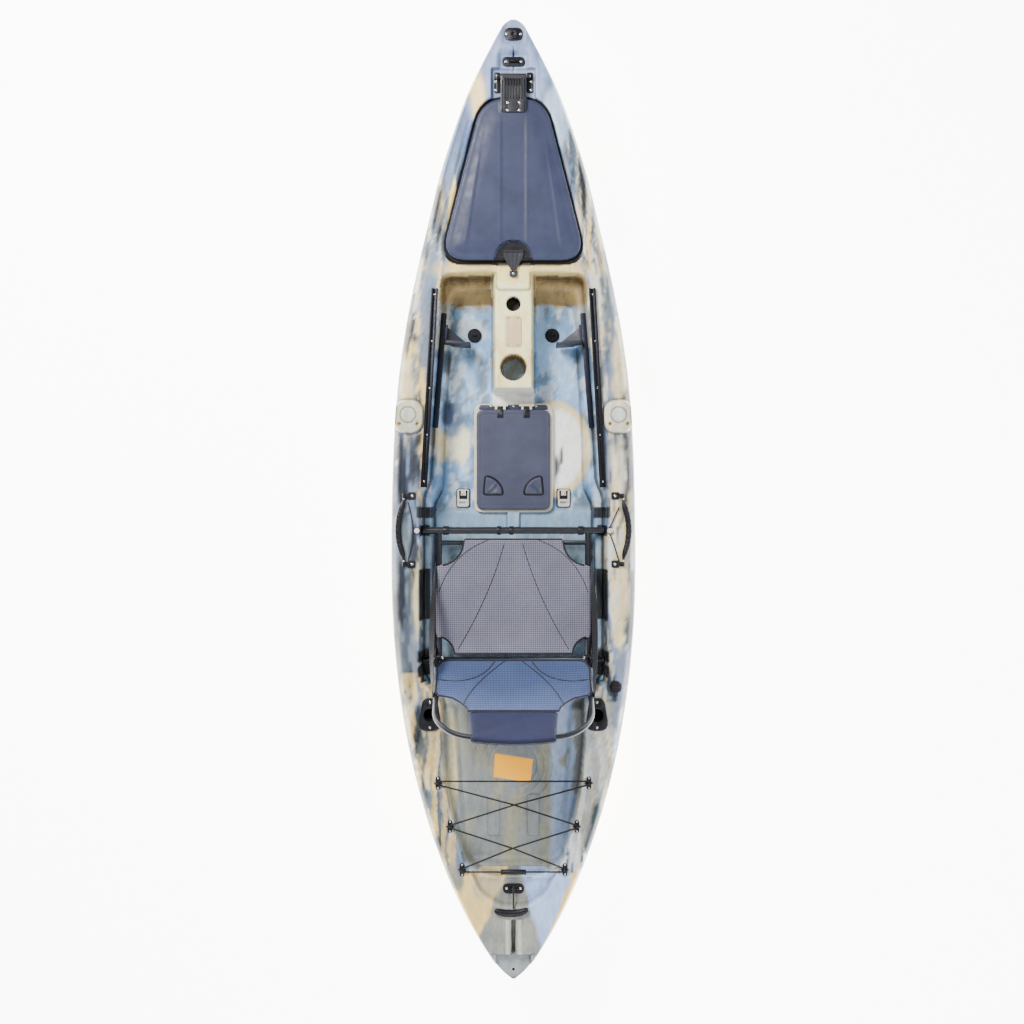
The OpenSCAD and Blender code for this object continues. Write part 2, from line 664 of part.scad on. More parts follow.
module deck_screws() {
    color("silver") {
        pair() along(rail_a, rail_b, deck_height) for (y = rail_screws) translate([0, y, 0]) screw(3, 4);
        pair() for (y = [-44, 44]) translate([rod_x, rod_y + y, 0]) screw(deck_height + 6);
        pair() for (y = handle_y) translate([352, y, 0]) screw(deck_height + 4);
        pair() translate([181, 30, 0]) screw(floor_z + 4);
        pair() for (l = loops, y = [-17, 17]) translate([l.x, l.y + y, l.z + 3]) {
            cylinder(h = 2, r = 3.6);
            translate([0, 0, -12]) cylinder(h = 12, r = 1.9);
        }
        for (x = [-76, 0, 76]) translate([x, -24, 0]) screw(frame_z);
        translate([0, 790, 0]) screw(312.3);
        for (x = [-24, 24]) translate([x, stern_eye.y, 0]) screw(stern_eye.z + 4);
        for (x = [-26.5, 26.5]) translate([x, 1508, 0]) screw(367);
        for (x = [-24, 24]) translate([x, 1598, 0]) screw(382);
        on_hatch() pair() for (y = [580, 608]) translate([61, y, 0]) screw(5);
    }
}

// ---------- seat ----------
cross_r = 12;
tube_wall = 1.6;
pan_tilt = atan((seat_front.y - seat_rear.y) / (seat_front.x - seat_rear.x));

module seat_tubes(inset) {
    pair() rod([seat_half, seat_front.x, seat_front.y], [seat_half, seat_rear.x, seat_rear.y],
        seat_tube_r - inset);
    translate([-316, seat_front.x, seat_front.y]) rotate([0, 90, 0]) cylinder(h = 632, r = cross_r - inset);
    translate([-316, seat_rear.x, seat_rear.y]) rotate([0, 90, 0]) cylinder(h = 632, r = 11 - inset);
}

module seat_frame() {
    color("dimgray") difference() {
        union() {
            seat_tubes(0);
            translate([-seat_half, -144, 224]) rotate([0, 90, 0]) cylinder(h = 2 * seat_half, r = 8);
        }
        seat_tubes(tube_wall);
        translate([-330, seat_front.x, seat_front.y]) rotate([0, 90, 0])
            cylinder(h = 660, r = cross_r - tube_wall);
        translate([-330, seat_rear.x, seat_rear.y]) rotate([0, 90, 0]) cylinder(h = 660, r = 11 - tube_wall);
    }
}

module seat_tube_caps() {
    color("black") pair() for (c = [[seat_front, cross_r], [seat_rear, 11]])
        translate([316, c[0].x, c[0].y]) rotate([0, 90, 0]) {
            cylinder(h = 4, r = c[1]);
            translate([0, 0, -14]) cylinder(h = 15, r = c[1] - tube_wall);
        }
}

module seat_brackets() {
    color("black") {
        pair() difference() {
            translate([272, 0, 0]) rotate([90, 0, 90]) linear_extrude(height = 5)
                polygon(soft([[-585, 200], [-500, 203], [-512, 238], [-536, 248], [-562, 248], [-585, 225]], 8));
            translate([262, back_pin.x, back_pin.y]) rotate([0, 90, 0]) cylinder(h = 30, r = 4);
            translate([seat_half - 20, seat_rear.x, seat_rear.y]) rotate([0, 90, 0])
                cylinder(h = 50, r = 11);
        }
        for (x = [-247, -58, -14, 227]) translate([x, seat_front.x, seat_front.y]) rotate([0, 90, 0])
            difference() {
                cylinder(h = x < -100 || x > 100 ? 20 : 14, r = 15.5);
                translate([0, 0, -1]) cylinder(h = 30, r = cross_r);
            }
    }
}

module seat_pivot_bolts() {
    color("silver") pair() translate([251, back_pin.x, back_pin.y]) rotate([0, 90, 0]) {
        cylinder(h = 26, r = 4);
        translate([0, 0, 26]) cylinder(h = 4, r = 7.5);
        translate([0, 0, -4]) cylinder(h = 4, r = 7.5);
    }
}

module seat_mesh() {
    color("gray") translate([0, -129, seat_front.y + 9.4]) rotate([pan_tilt, 0, 0])
        prism(soft([[232, -404], [273, -352], [273, -96], [190, 0], [-190, 0], [-273, -96],
            [-273, -352], [-232, -404]], [14, 20, 30, 30, 30, 30, 20, 14]), 0, 4);
}

module recline_strap_right() {
    top = [back_pin.x - 236 * sin(back_lean), back_pin.y + 236 * cos(back_lean)];
    low = [-215, 221];
    side = 12 * unit([-(top.y - low.y), top.x - low.x]);
    color("black") translate([273, 0, 0]) rotate([90, 0, 90]) linear_extrude(height = 2)
        polygon([low + side, low - side, top - side, top + side]);
}

module recline_strap_left() { mirror([1, 0, 0]) recline_strap_right(); }

// bent tube of the seat back, with its two quarter bends
module back_tube() {
    top = back_length - 14;
    pair() {
        translate([seat_half, 0, 9]) cylinder(h = top - back_bend - 9, r = 9);
        translate([seat_half - back_bend, 0, top - back_bend]) rotate([90, 0, 0])
            rotate_extrude(angle = 90) translate([back_bend, 0]) circle(9);
    }
    translate([back_bend - seat_half, 0, top]) rotate([0, 90, 0])
        cylinder(h = 2 * (seat_half - back_bend), r = 9);
}

module back_frame() {
    color("dimgray") on_back() difference() {
        union() {
            back_tube();
            pair() translate([seat_half - 9, 0, 0]) rotate([0, 90, 0]) cylinder(h = 18, r = 11);
        }
        pair() translate([seat_half - 20, 0, 0]) rotate([0, 90, 0]) cylinder(h = 40, r = 4 + run);
    }
}

module back_fabric() {
    color("slategray") on_back() rotate([90, 0, 0]) translate([0, 0, -13.4]) linear_extrude(height = 4)
        polygon(soft([[228, 38], [266, 90], [266, 238], [146, 330], [-146, 330], [-266, 238],
            [-266, 90], [-228, 38]], [20, 20, 24, 10, 10, 24, 20, 20]));
}

module back_top_panel() {
    color("darkslategray") on_back() difference() {
        rotate([90, 0, 0]) translate([0, 0, -13.4]) linear_extrude(height = 26.8)
            polygon(soft([[146, 331], [138, back_length], [-138, back_length], [-146, 331]],
                [8, 20, 20, 8]));
        back_tube();
    }
}

module strap_buckles() {
    color("black") on_back() pair() translate([271.5, -12, 214]) cube([1.2, 24, 26]);
}

hull();
bow_gasket();
bow_hinge_brackets();
bow_hinge_pin();
nose_fitting();
bow_padeye();
insert_plate();
brass_inserts();
centre_hatch_frame();
centre_hatch_gasket();
centre_hinge_pin();
accessory_rails();
foot_brace_tracks();
rod_holders();
strap_anchors();
pad_inserts();
handle_anchors();
handle_pins();
paddle_cord_right();
paddle_cord_left();
paddle_buttons();
deck_loops();
tank_bungee();
bungee_connector();
stern_padeye();
drain_housing();
latch_tail();
hull_label();
deck_screws();
bow_lid();
bow_hinge_leaf();
bow_lid_screws();
latch_strap();
centre_lid();
centre_lid_knuckles();
centre_latch_left();
centre_latch_right();
pedal_left();
pedal_right();
scupper_plug_left();
scupper_plug_right();
seat_frame();
seat_tube_caps();
seat_brackets();
seat_pivot_bolts();
seat_mesh();
recline_strap_left();
recline_strap_right();
back_frame();
back_fabric();
back_top_panel();
strap_buckles();
handle_left();
handle_right();
stern_toggle();
toggle_cord();
drain_plug();
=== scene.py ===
"""Looks of a sit-on-top fishing kayak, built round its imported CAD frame.

Lengths are in millimetres in the frame's axes: +X starboard, +Y bow, +Z up. Meshes are made in metres.
"""

import json
import math

import bmesh
import bpy
import numpy as np
from mathutils import Matrix, Vector
from mathutils.bvhtree import BVHTree
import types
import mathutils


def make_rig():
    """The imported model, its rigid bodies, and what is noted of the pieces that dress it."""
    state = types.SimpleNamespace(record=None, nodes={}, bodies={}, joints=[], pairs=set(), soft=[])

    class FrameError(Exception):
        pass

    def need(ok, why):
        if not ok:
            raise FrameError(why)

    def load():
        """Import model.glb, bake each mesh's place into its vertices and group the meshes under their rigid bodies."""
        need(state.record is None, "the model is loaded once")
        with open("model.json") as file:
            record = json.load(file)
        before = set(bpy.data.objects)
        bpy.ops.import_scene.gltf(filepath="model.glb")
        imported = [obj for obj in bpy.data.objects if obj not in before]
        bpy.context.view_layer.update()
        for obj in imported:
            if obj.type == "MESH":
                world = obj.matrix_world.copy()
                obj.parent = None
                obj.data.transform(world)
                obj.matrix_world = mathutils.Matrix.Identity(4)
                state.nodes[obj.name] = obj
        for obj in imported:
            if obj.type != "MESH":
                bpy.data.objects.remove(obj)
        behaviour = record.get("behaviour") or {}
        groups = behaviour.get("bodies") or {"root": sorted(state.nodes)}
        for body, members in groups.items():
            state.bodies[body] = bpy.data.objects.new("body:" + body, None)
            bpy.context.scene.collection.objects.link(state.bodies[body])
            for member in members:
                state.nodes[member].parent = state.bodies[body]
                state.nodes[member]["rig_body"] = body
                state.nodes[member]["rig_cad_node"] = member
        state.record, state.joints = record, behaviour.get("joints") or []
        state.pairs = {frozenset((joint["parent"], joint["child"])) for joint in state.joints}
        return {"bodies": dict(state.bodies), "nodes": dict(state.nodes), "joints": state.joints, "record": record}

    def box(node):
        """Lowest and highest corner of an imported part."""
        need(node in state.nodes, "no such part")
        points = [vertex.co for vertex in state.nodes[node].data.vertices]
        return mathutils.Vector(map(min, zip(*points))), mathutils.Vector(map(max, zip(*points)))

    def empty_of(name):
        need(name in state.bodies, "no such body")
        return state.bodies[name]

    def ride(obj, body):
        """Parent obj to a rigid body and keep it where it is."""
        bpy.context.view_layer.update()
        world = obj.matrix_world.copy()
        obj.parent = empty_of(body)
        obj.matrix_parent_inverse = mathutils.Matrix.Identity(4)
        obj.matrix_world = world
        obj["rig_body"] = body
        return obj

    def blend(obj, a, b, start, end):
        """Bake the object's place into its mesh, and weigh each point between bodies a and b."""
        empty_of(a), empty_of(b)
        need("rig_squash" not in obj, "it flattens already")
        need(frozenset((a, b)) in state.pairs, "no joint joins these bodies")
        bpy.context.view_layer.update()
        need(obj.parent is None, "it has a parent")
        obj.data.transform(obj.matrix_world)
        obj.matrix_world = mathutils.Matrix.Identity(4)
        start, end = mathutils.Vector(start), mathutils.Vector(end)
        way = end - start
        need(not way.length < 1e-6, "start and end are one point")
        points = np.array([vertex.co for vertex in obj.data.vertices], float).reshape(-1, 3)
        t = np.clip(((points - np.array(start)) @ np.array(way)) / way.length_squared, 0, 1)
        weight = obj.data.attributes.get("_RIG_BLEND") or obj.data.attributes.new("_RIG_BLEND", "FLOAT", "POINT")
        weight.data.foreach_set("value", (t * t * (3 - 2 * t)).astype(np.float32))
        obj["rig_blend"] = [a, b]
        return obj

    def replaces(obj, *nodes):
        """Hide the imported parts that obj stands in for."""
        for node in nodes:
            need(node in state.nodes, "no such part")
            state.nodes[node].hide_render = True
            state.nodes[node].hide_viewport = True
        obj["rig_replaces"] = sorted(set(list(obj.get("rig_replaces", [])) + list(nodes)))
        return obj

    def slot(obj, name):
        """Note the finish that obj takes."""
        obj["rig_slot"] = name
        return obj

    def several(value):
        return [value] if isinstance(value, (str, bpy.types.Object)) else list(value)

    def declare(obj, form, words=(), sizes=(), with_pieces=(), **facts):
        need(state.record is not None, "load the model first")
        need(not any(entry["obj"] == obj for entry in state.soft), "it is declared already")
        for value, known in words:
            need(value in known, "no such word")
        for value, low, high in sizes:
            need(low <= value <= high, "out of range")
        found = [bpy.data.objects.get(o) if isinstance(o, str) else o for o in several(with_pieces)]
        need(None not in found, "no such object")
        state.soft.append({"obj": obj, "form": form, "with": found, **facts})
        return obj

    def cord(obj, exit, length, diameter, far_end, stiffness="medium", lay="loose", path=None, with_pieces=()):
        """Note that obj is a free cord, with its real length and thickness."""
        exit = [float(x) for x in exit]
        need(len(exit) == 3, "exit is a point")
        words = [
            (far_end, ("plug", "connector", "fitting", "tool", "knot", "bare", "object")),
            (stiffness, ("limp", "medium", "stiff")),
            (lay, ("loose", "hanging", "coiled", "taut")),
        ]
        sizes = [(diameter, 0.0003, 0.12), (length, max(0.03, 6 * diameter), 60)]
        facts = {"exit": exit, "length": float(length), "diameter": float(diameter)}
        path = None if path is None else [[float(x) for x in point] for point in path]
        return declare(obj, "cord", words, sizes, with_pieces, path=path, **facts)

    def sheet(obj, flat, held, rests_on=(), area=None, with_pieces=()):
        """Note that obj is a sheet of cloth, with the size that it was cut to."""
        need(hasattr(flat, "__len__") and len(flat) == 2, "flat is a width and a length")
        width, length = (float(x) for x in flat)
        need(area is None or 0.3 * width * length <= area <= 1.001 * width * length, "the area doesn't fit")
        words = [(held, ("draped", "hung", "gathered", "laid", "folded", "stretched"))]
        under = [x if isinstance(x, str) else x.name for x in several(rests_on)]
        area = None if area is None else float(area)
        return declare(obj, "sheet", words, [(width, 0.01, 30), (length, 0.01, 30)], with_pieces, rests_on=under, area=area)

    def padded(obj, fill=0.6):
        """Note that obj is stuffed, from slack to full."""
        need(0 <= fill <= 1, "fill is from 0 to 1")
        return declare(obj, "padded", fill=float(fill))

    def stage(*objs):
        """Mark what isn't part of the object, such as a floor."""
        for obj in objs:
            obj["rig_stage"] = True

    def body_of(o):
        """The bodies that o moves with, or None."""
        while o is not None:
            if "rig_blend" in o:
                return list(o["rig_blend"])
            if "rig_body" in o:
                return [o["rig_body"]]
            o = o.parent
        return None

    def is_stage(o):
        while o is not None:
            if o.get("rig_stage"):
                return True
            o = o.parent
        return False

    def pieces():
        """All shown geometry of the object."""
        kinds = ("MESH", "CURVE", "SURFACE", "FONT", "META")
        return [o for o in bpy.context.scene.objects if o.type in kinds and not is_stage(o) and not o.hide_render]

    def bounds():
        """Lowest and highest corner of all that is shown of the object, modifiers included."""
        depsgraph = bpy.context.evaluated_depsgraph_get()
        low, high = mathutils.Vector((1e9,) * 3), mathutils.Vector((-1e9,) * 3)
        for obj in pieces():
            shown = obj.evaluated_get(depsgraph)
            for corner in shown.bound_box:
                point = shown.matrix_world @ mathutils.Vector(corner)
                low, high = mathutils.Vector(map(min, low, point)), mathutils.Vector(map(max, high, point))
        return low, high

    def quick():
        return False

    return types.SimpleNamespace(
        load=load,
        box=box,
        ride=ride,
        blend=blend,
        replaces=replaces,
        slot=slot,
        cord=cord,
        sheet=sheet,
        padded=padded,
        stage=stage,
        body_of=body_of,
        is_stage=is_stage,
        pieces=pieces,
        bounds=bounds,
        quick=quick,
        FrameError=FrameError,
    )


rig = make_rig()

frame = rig.load()
size_at_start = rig.bounds()
MM = 0.001

# ---------- driving dimensions, from the frame ----------
hull_low, hull_high = [Vector(c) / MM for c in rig.box("hull")]
half = (hull_high.y - hull_low.y) / 2
half_width = 430.0
y_wide = -210.0
deck_z = 300.0
bow_rise, stern_rise = 90.0, 50.0
floor_z, tank_z, console_z = 130.0, 195.0, 285.0
cup_y, cup_r, scupper_r = 469.0, 44.0, 16.0
peg_y = 690.0  # round hole ahead of the cup holder
plate_y = 593.0
groove_x, groove_y = 21, -1500  # grooves of the stern deck
hatch_y, hatch_z, hatch_tilt = 836.0, 304.0, math.radians(4.5)
hatch_len = 550.0
lid_line = [(252, 0), (108, hatch_len), (-108, hatch_len), (-252, 0)]
lid_blend = [95, 85, 85, 95]
loops = [(262, -977, 301.5), (220, -1126, 308), (178, -1274, 316.5)]
back_pin = (-548.0, 232.0)
back_lean = math.radians(29)
seat_front, seat_rear = (-101.0, 226.0), (-560.0, 207.4)
stern_eye = Vector((0, -1345, 307))
rod_at = (290.0, -740.0)
pad_at, pad_bolts = (366.0, 296.0), (335.0, 397.0)
plug_at = (139.0, 596.0)


# ---------- outlines ----------
def unit(v):
    return v / np.linalg.norm(v)


def soft(points, cuts, n=6):
    """Corners cut back by the given lengths and rounded."""
    p = [np.array(q, float) for q in points]
    cuts = [cuts] * len(p) if np.isscalar(cuts) else cuts
    out = []
    for i, b in enumerate(p):
        u = b + cuts[i] * unit(p[i - 1] - b)
        v = b + cuts[i] * unit(p[(i + 1) % len(p)] - b)
        for k in range(n + 1):
            s = k / n
            out.append((1 - s) ** 2 * u + 2 * s * (1 - s) * b + s * s * v)
    return np.array(out)


def grow(points, t):
    """An anticlockwise outline moved outward by t."""
    p = [np.array(q, float) for q in points]
    out = []
    for i, b in enumerate(p):
        a, c = unit(b - p[i - 1]), unit(p[(i + 1) % len(p)] - b)
        m, w = np.array([a[1], -a[0]]), np.array([c[1], -c[0]])
        out.append(b + (m + w) * t / (1 + m @ w))
    return out


def both(side):
    """A starboard half of an outline, closed by its mirror image."""
    return side + [(-x, y) for x, y in reversed(side)]


def twice(v):
    """Corner cuts for an outline made by both()."""
    return v + v[::-1]


def box(w, l, x=0, y=0):
    """A rectangle of half width w and half length l about x, y."""
    return [(x + w, y - l), (x + w, y + l), (x - w, y + l), (x - w, y - l)]


def ring(x, y, r, n=40):
    turns = [2 * math.pi * k / n for k in range(n)]
    return np.array([(x + r * math.cos(a), y + r * math.sin(a)) for a in turns])


def lid_plan(t, n=6):
    """The bow lid's outline in its own plane, moved outward by t."""
    return soft(grow(lid_line, t), lid_blend, n)


well_line = soft(both([(45, -1306), (112, -1290), (165, -1250), (200, -1126), (232, -977), (243, -829), (245, -690),
                       (318, -612), (318, 20), (294, 70), (282, 272), (250, 685), (245, 786), (84, 791)]),
                 twice([18, 25, 30, 40, 40, 30, 25, 30, 24, 24, 60, 12, 30, 12]))
floor_top = soft(both([(270, -600), (292, -560), (292, 0), (268, 60), (262, 272), (234, 690), (228, 768), (96, 774)]),
                 twice([14, 14, 12, 12, 40, 20, 26, 10]))
floor_low = soft(both([(255, -585), (280, -545), (280, -10), (250, 50), (244, 262), (221, 640), (212, 702),
                       (106, 706)]), twice([14, 14, 12, 12, 40, 20, 26, 10]))
opening_line = soft(grow(lid_line, -25), [80, 66, 66, 80])
shelf_line = soft(both([(45, -1395), (112, -1352), (150, -1280)]), 20)


def distance(x, y, outline, margin=40):
    """Distance of each point from a closed outline, negative inside; far points are given margin."""
    d = np.full(x.shape, float(margin))
    low, high = outline.min(0) - margin, outline.max(0) + margin
    near = (x > low[0]) & (x < high[0]) & (y > low[1]) & (y < high[1])
    px, py = x[near], y[near]
    if not px.size:
        return d
    best, inside = np.full(px.shape, 1e12), np.zeros(px.shape, bool)
    for (ax, ay), (bx, by) in zip(outline, np.roll(outline, -1, axis=0)):
        ex, ey, wx, wy = bx - ax, by - ay, px - ax, py - ay
        s = np.clip((wx * ex + wy * ey) / max(ex * ex + ey * ey, 1e-9), 0, 1)
        best = np.minimum(best, (wx - s * ex) ** 2 + (wy - s * ey) ** 2)
        if ey:
            inside ^= ((ay > py) != (by > py)) & (px < ax + ex * (py - ay) / ey)
    d[near] = np.sqrt(best) * np.where(inside, -1, 1)
    return d


def ease(s):
    s = np.clip(s, 0, 1)
    return s * s * (3 - 2 * s)


def bell(d, width):
    """A soft bump: 1 at d = 0, falling off over the given width."""
    return np.exp(-((d / width) ** 2))


def round_edge(d, r):
    """Share of the full height at distance d from an edge with a quarter-round of radius r."""
    return np.sqrt(np.clip(1 - (1 - np.clip(d / r, 0, 1)) ** 2, 0, 1))


def along_hatch(y):
    return (y - hatch_y) / math.cos(hatch_tilt)


# ---------- hull curves ----------
def from_middle(y):
    """0 at the widest station, 1 at either tip."""
    return np.where(y > y_wide, (y - y_wide) / (half - y_wide), (y_wide - y) / (half + y_wide))


def half_beam(y):
    side = half_width * np.maximum(0, 1 - from_middle(y) ** 2.15) ** 0.76 * (1 + 0.022 * bell(y - 480, 350))
    stem = np.where(y > 0, 54 * ease((y - 900) / 250) - 24 * ease((y - 1380) / 200), 13 * ease((-y - 1400) / 200))
    tip = np.clip((np.abs(y) - (half - 26)) / 26, 0, 1)
    return np.maximum(np.hypot(side, stem), 16) * np.sqrt(np.maximum(1 - tip**2, 0.0016))


def keel_z(y):
    a = np.abs(y)
    return (165 * np.maximum(0, (a - 950) / (half - 950)) ** 2.1 + 95 * np.maximum(0, (a - half + 190) / 190) ** 2.4)


def sheer_z(y):
    """Height of the gunwale."""
    return deck_z + np.where(y > 0, bow_rise * np.maximum(0, (y - 760) / (half - 760)) ** 1.6,
                             stern_rise * np.maximum(0, (-y - 800) / (half - 800)) ** 1.6)


def crown(y):
    """How far the middle of the deck rises over its edges."""
    return (np.where(y > 0, 26 * ease((y - 745) / 205), 12 * ease((-y - 1290) / 150))
            * np.minimum(1, half_beam(y) / 200))


def bare_deck(x, y):
    t, s = np.abs(x) / half_beam(y), sheer_z(y)
    z = s + crown(y) * (1 - np.minimum(t / 0.88, 1) ** 2.4)
    over = np.clip((t - 0.88) / 0.12, 0, 0.999)
    return z - 0.26 * (s - keel_z(y)) * (1 - np.sqrt(1 - over**2))


EDGE = 0.985  # share of the beam at which the deck gives way to the side


class Ground:
    """Heights of the moulded deck, and how near each point is to a moulded edge."""

    def __init__(self, x, y):
        self.x, self.y = x, y
        self.z = bare_deck(x, y)
        self.near = np.full(x.shape, 99.0)

    def into(self, level, outline, width, raise_up=False, count=True):
        """Cuts down to a level inside an outline, or builds up to it, with a wall of the given width."""
        d = distance(self.x, self.y, outline)
        goal = np.maximum(self.z, level) if raise_up else np.minimum(self.z, level)
        change = (goal - self.z) * ease(0.5 - d / width)
        self.z = self.z + change
        if count:
            self.near = np.minimum(self.near, np.abs(d))
        return d

    def bead(self, outline, height, width):
        d = distance(self.x, self.y, outline)
        self.z = self.z + height * np.maximum(0, 1 - (2 * d / width) ** 2) ** 2
        self.near = np.minimum(self.near, np.abs(d) + 2)


def smooth_min(a, b, k):
    h = np.clip(0.5 + 0.5 * (b - a) / k, 0, 1)
    return b * (1 - h) + a * h - k * h * (1 - h)


def ground(x, y):
    """The whole moulded deck, as a Ground of heights at the given points."""
    g = Ground(x, y)
    # cockpit: upper level, sloping foot well, console
    low, top = distance(x, y, floor_low, 80), distance(x, y, floor_top, 80)
    f = np.where(top < 0, np.clip(low / np.maximum(low - top, 1e-6), 0, 1), 1)
    inner = smooth_min(np.full(x.shape, tank_z), floor_z + (tank_z + 20 - floor_z) * f, 14)
    inner += 5 * ease((-y - 28) / 6) * (low < 0) - 3.0 * ease((-y - 28) / 6) * ease((-y - 96) / 6) * (low < 0)
    beam = distance(x, y, soft(box(22, 30, 0, -62), 5))
    inner += 14 * ease(0.5 - beam / 6)
    base = g.z.copy()
    g.z = inner
    tank_floor(g)
    console = distance(x, y, soft(box(71, 270, 0, 659), 12))
    g.z += (console_z - g.z) * ease(0.5 - (console + 1) / 15)
    block = distance(x, y, soft(box(60, 82, 0, 818), 16))
    g.z += (np.minimum(base, 308) - g.z) * ease(0.5 - (block + 2) / 9)
    well = distance(x, y, well_line)
    g.z = g.z + (base - g.z) * ease(0.5 + (well - 3) / 15)
    g.near = np.minimum.reduce([g.near, np.abs(well), np.abs(low) + 3, np.abs(console), np.abs(block), np.abs(beam)])
    # rear shelf, side recesses and lips
    g.into(290, shelf_line, 12)
    front_deck(g)
    side_deck(g)
    end_decks(g)
    return g


def tank_floor(g):
    """Round moulding, two ribs and a ledge on the tank well's floor."""
    for r in (142, 112, 86):
        g.bead(ring(0, -932, r, 64), 3.2, 9)
    for s in (-1, 1):
        rib = soft(box(21, 73, s * 70, -1108), 12)
        d = distance(g.x, g.y, rib)
        g.z += 7 * ease(0.5 - d / 8)
        g.near = np.minimum(g.near, np.abs(d) + 1)
        corners = [(s * 250, -1240), (s * 250, -720), (s * 205, -720), (s * 172, -1240)]
        ledge = distance(g.x, g.y, soft(corners[::s], 20))
        g.z += 26 * ease(0.5 - ledge / 26)
        g.near = np.minimum(g.near, np.abs(ledge) + 4)
    g.z += 26 * ease((-g.y - 1255) / 26)


def front_deck(g):
    """Land of the bow hatch and the parts of the console."""
    along = along_hatch(g.y)
    plane = hatch_z + (g.y - hatch_y) * math.tan(hatch_tilt)
    whole = Ground(g.x, along)
    whole.z, whole.near = g.z, g.near
    # a gutter round the lid
    land = whole.into(plane, lid_plan(8), 9)
    whole.into(plane, soft(box(76, 76, 0, 576), 6), 6)
    whole.z = whole.z + 5.5 * np.maximum(0, 1 - ((land - 12) / 10) ** 2) * (land > 2) * (along < 470)
    g.z, g.near = whole.z, whole.near
    g.into(308, soft(box(58, 46, 0, 808), 10), 6)
    g.into(225, ring(0, peg_y, 24), 6)
    g.into(floor_z + 12, ring(0, cup_y, cup_r), 7)
    hole = Ground(g.x, along)
    hole.z, hole.near = g.z, g.near
    hole.into(plane - 30, opening_line, 6)
    g.z, g.near = hole.z, hole.near
    g.into(console_z - 1.2, soft(box(30, 56, 0, plate_y), 8), 3)


def side_deck(g):
    """Bosses, seat notches, loop and rod-holder seats and the trough of both side decks."""
    for s in (-1, 1):
        boss = soft(box(50, 56, s * pad_at[0], pad_at[1]), 46)
        g.into(306.5, boss, 9, raise_up=True)
        g.bead(np.array(soft(box(57, 63, s * pad_at[0], pad_at[1]), 52)), -3.5, 9)
        g.bead(ring(s * pad_at[0], pad_at[1] + 6, 27), -3.2, 8)
        for x in pad_bolts:
            g.into(296, ring(s * x, pad_at[1] - 25, 5.6, 20), 1.4)
        # notches of the seat's tubes
        for w, x, y, z in ((10, 314, -38, 213), (10, 314, -101, 213), (10, 314, -560, 196), (9, 313, -616, 230)):
            g.into(z, soft(box(w, 15, s * x, y), 3), 3)
        g.into(262, soft(box(15, 86, s * 313, -326), 6), 5)
        for x, y, z in loops:
            g.into(z, ring(s * x, y, 27), 8)
            near = np.hypot(g.x - s * x, g.y - y)
            g.z = g.z + (z - g.z) * ease((27 - near) / 8) * (g.z > 240)
        g.into(deck_z - 22, ring(s * rod_at[0], rod_at[1], 29), 4)
        # shallow trough along the side deck
        run = np.abs(g.x) - 0.87 * half_beam(g.y)
        g.z = g.z - 3.0 * bell(run, 9) * ease((700 - np.abs(g.y + 40)) / 90)
    g.into(294, ring(356, -644, 21), 4)
    # grooves across the floor
    for s in (-1, 1):
        g.bead(soft(box(26, 38, s * 181, 13), 8), -2.0, 6)


def end_decks(g):
    """Stern step and grooves, drain seat and the bow's flats."""
    g.into(318, np.array(box(60, 70, 0, -1632)), 5)
    g.into(300, soft(box(7, 58, 0, groove_y), 6), 4)
    for s in (-1, 1):
        g.bead(soft(box(5, 56, s * groove_x, groove_y), 4), 3.0, 8)
    g.into(272, ring(0, -1620, 4.5, 20), 1.6)
    g.into(363, soft(box(50, 30, 0, 1508), 8), 20, count=False)
    g.into(377, soft(box(36, 44.5, 0, 1615.5), 8), 16, count=False)
    # star-shaped groove under the bow padeye
    star = distance(g.x, g.y, np.array([(7, 1508), (0, 1572), (-7, 1508), (0, 1444)], float))
    g.z = g.z - 3.5 * ease(0.5 - (star + 1) / 4)
    g.near = np.minimum(g.near, np.abs(star) + 2)


def to_cut(x, y):
    """Where the deck is open: both hatches, the scuppers and the rod holders."""
    gone = distance(x, along_hatch(y), opening_line) < -5
    gone |= distance(x, y, soft(box(112, 157, 0, 150), 20)) < 0
    for s in (-1, 1):
        gone |= np.hypot(x - s * plug_at[0], y - plug_at[1]) < scupper_r + 1.5
        gone |= np.hypot(x - s * rod_at[0], y - rod_at[1]) < 27
    return gone


# ---------- camera, floor and light ----------
def make_camera():
    """Straight down over the deck, bow up, from the height the photograph suggests."""
    data = bpy.data.cameras.new("camera")
    camera = bpy.data.objects.new("camera", data)
    bpy.context.collection.objects.link(camera)
    height, target = 5200.0, 330.0
    camera.location = Vector((-5.0, -36.0, target + height)) * MM
    camera.rotation_euler = (0, 0, 0)
    data.sensor_width = 36
    picture = 3536.0  # millimetres of deck across the picture
    data.lens = 36 * height / picture
    data.clip_end = 50
    bpy.context.scene.camera = camera


def area_light(name, at, size, power, colour=(1, 1, 1)):
    data = bpy.data.lights.new(name, "AREA")
    data.shape, data.size, data.size_y = "RECTANGLE", size[0], size[1]
    data.energy, data.color = power, colour
    lamp = bpy.data.objects.new(name, data)
    lamp.location = at
    lamp.rotation_euler = (-Vector(at)).to_track_quat("-Z", "Y").to_euler()
    bpy.context.collection.objects.link(lamp)


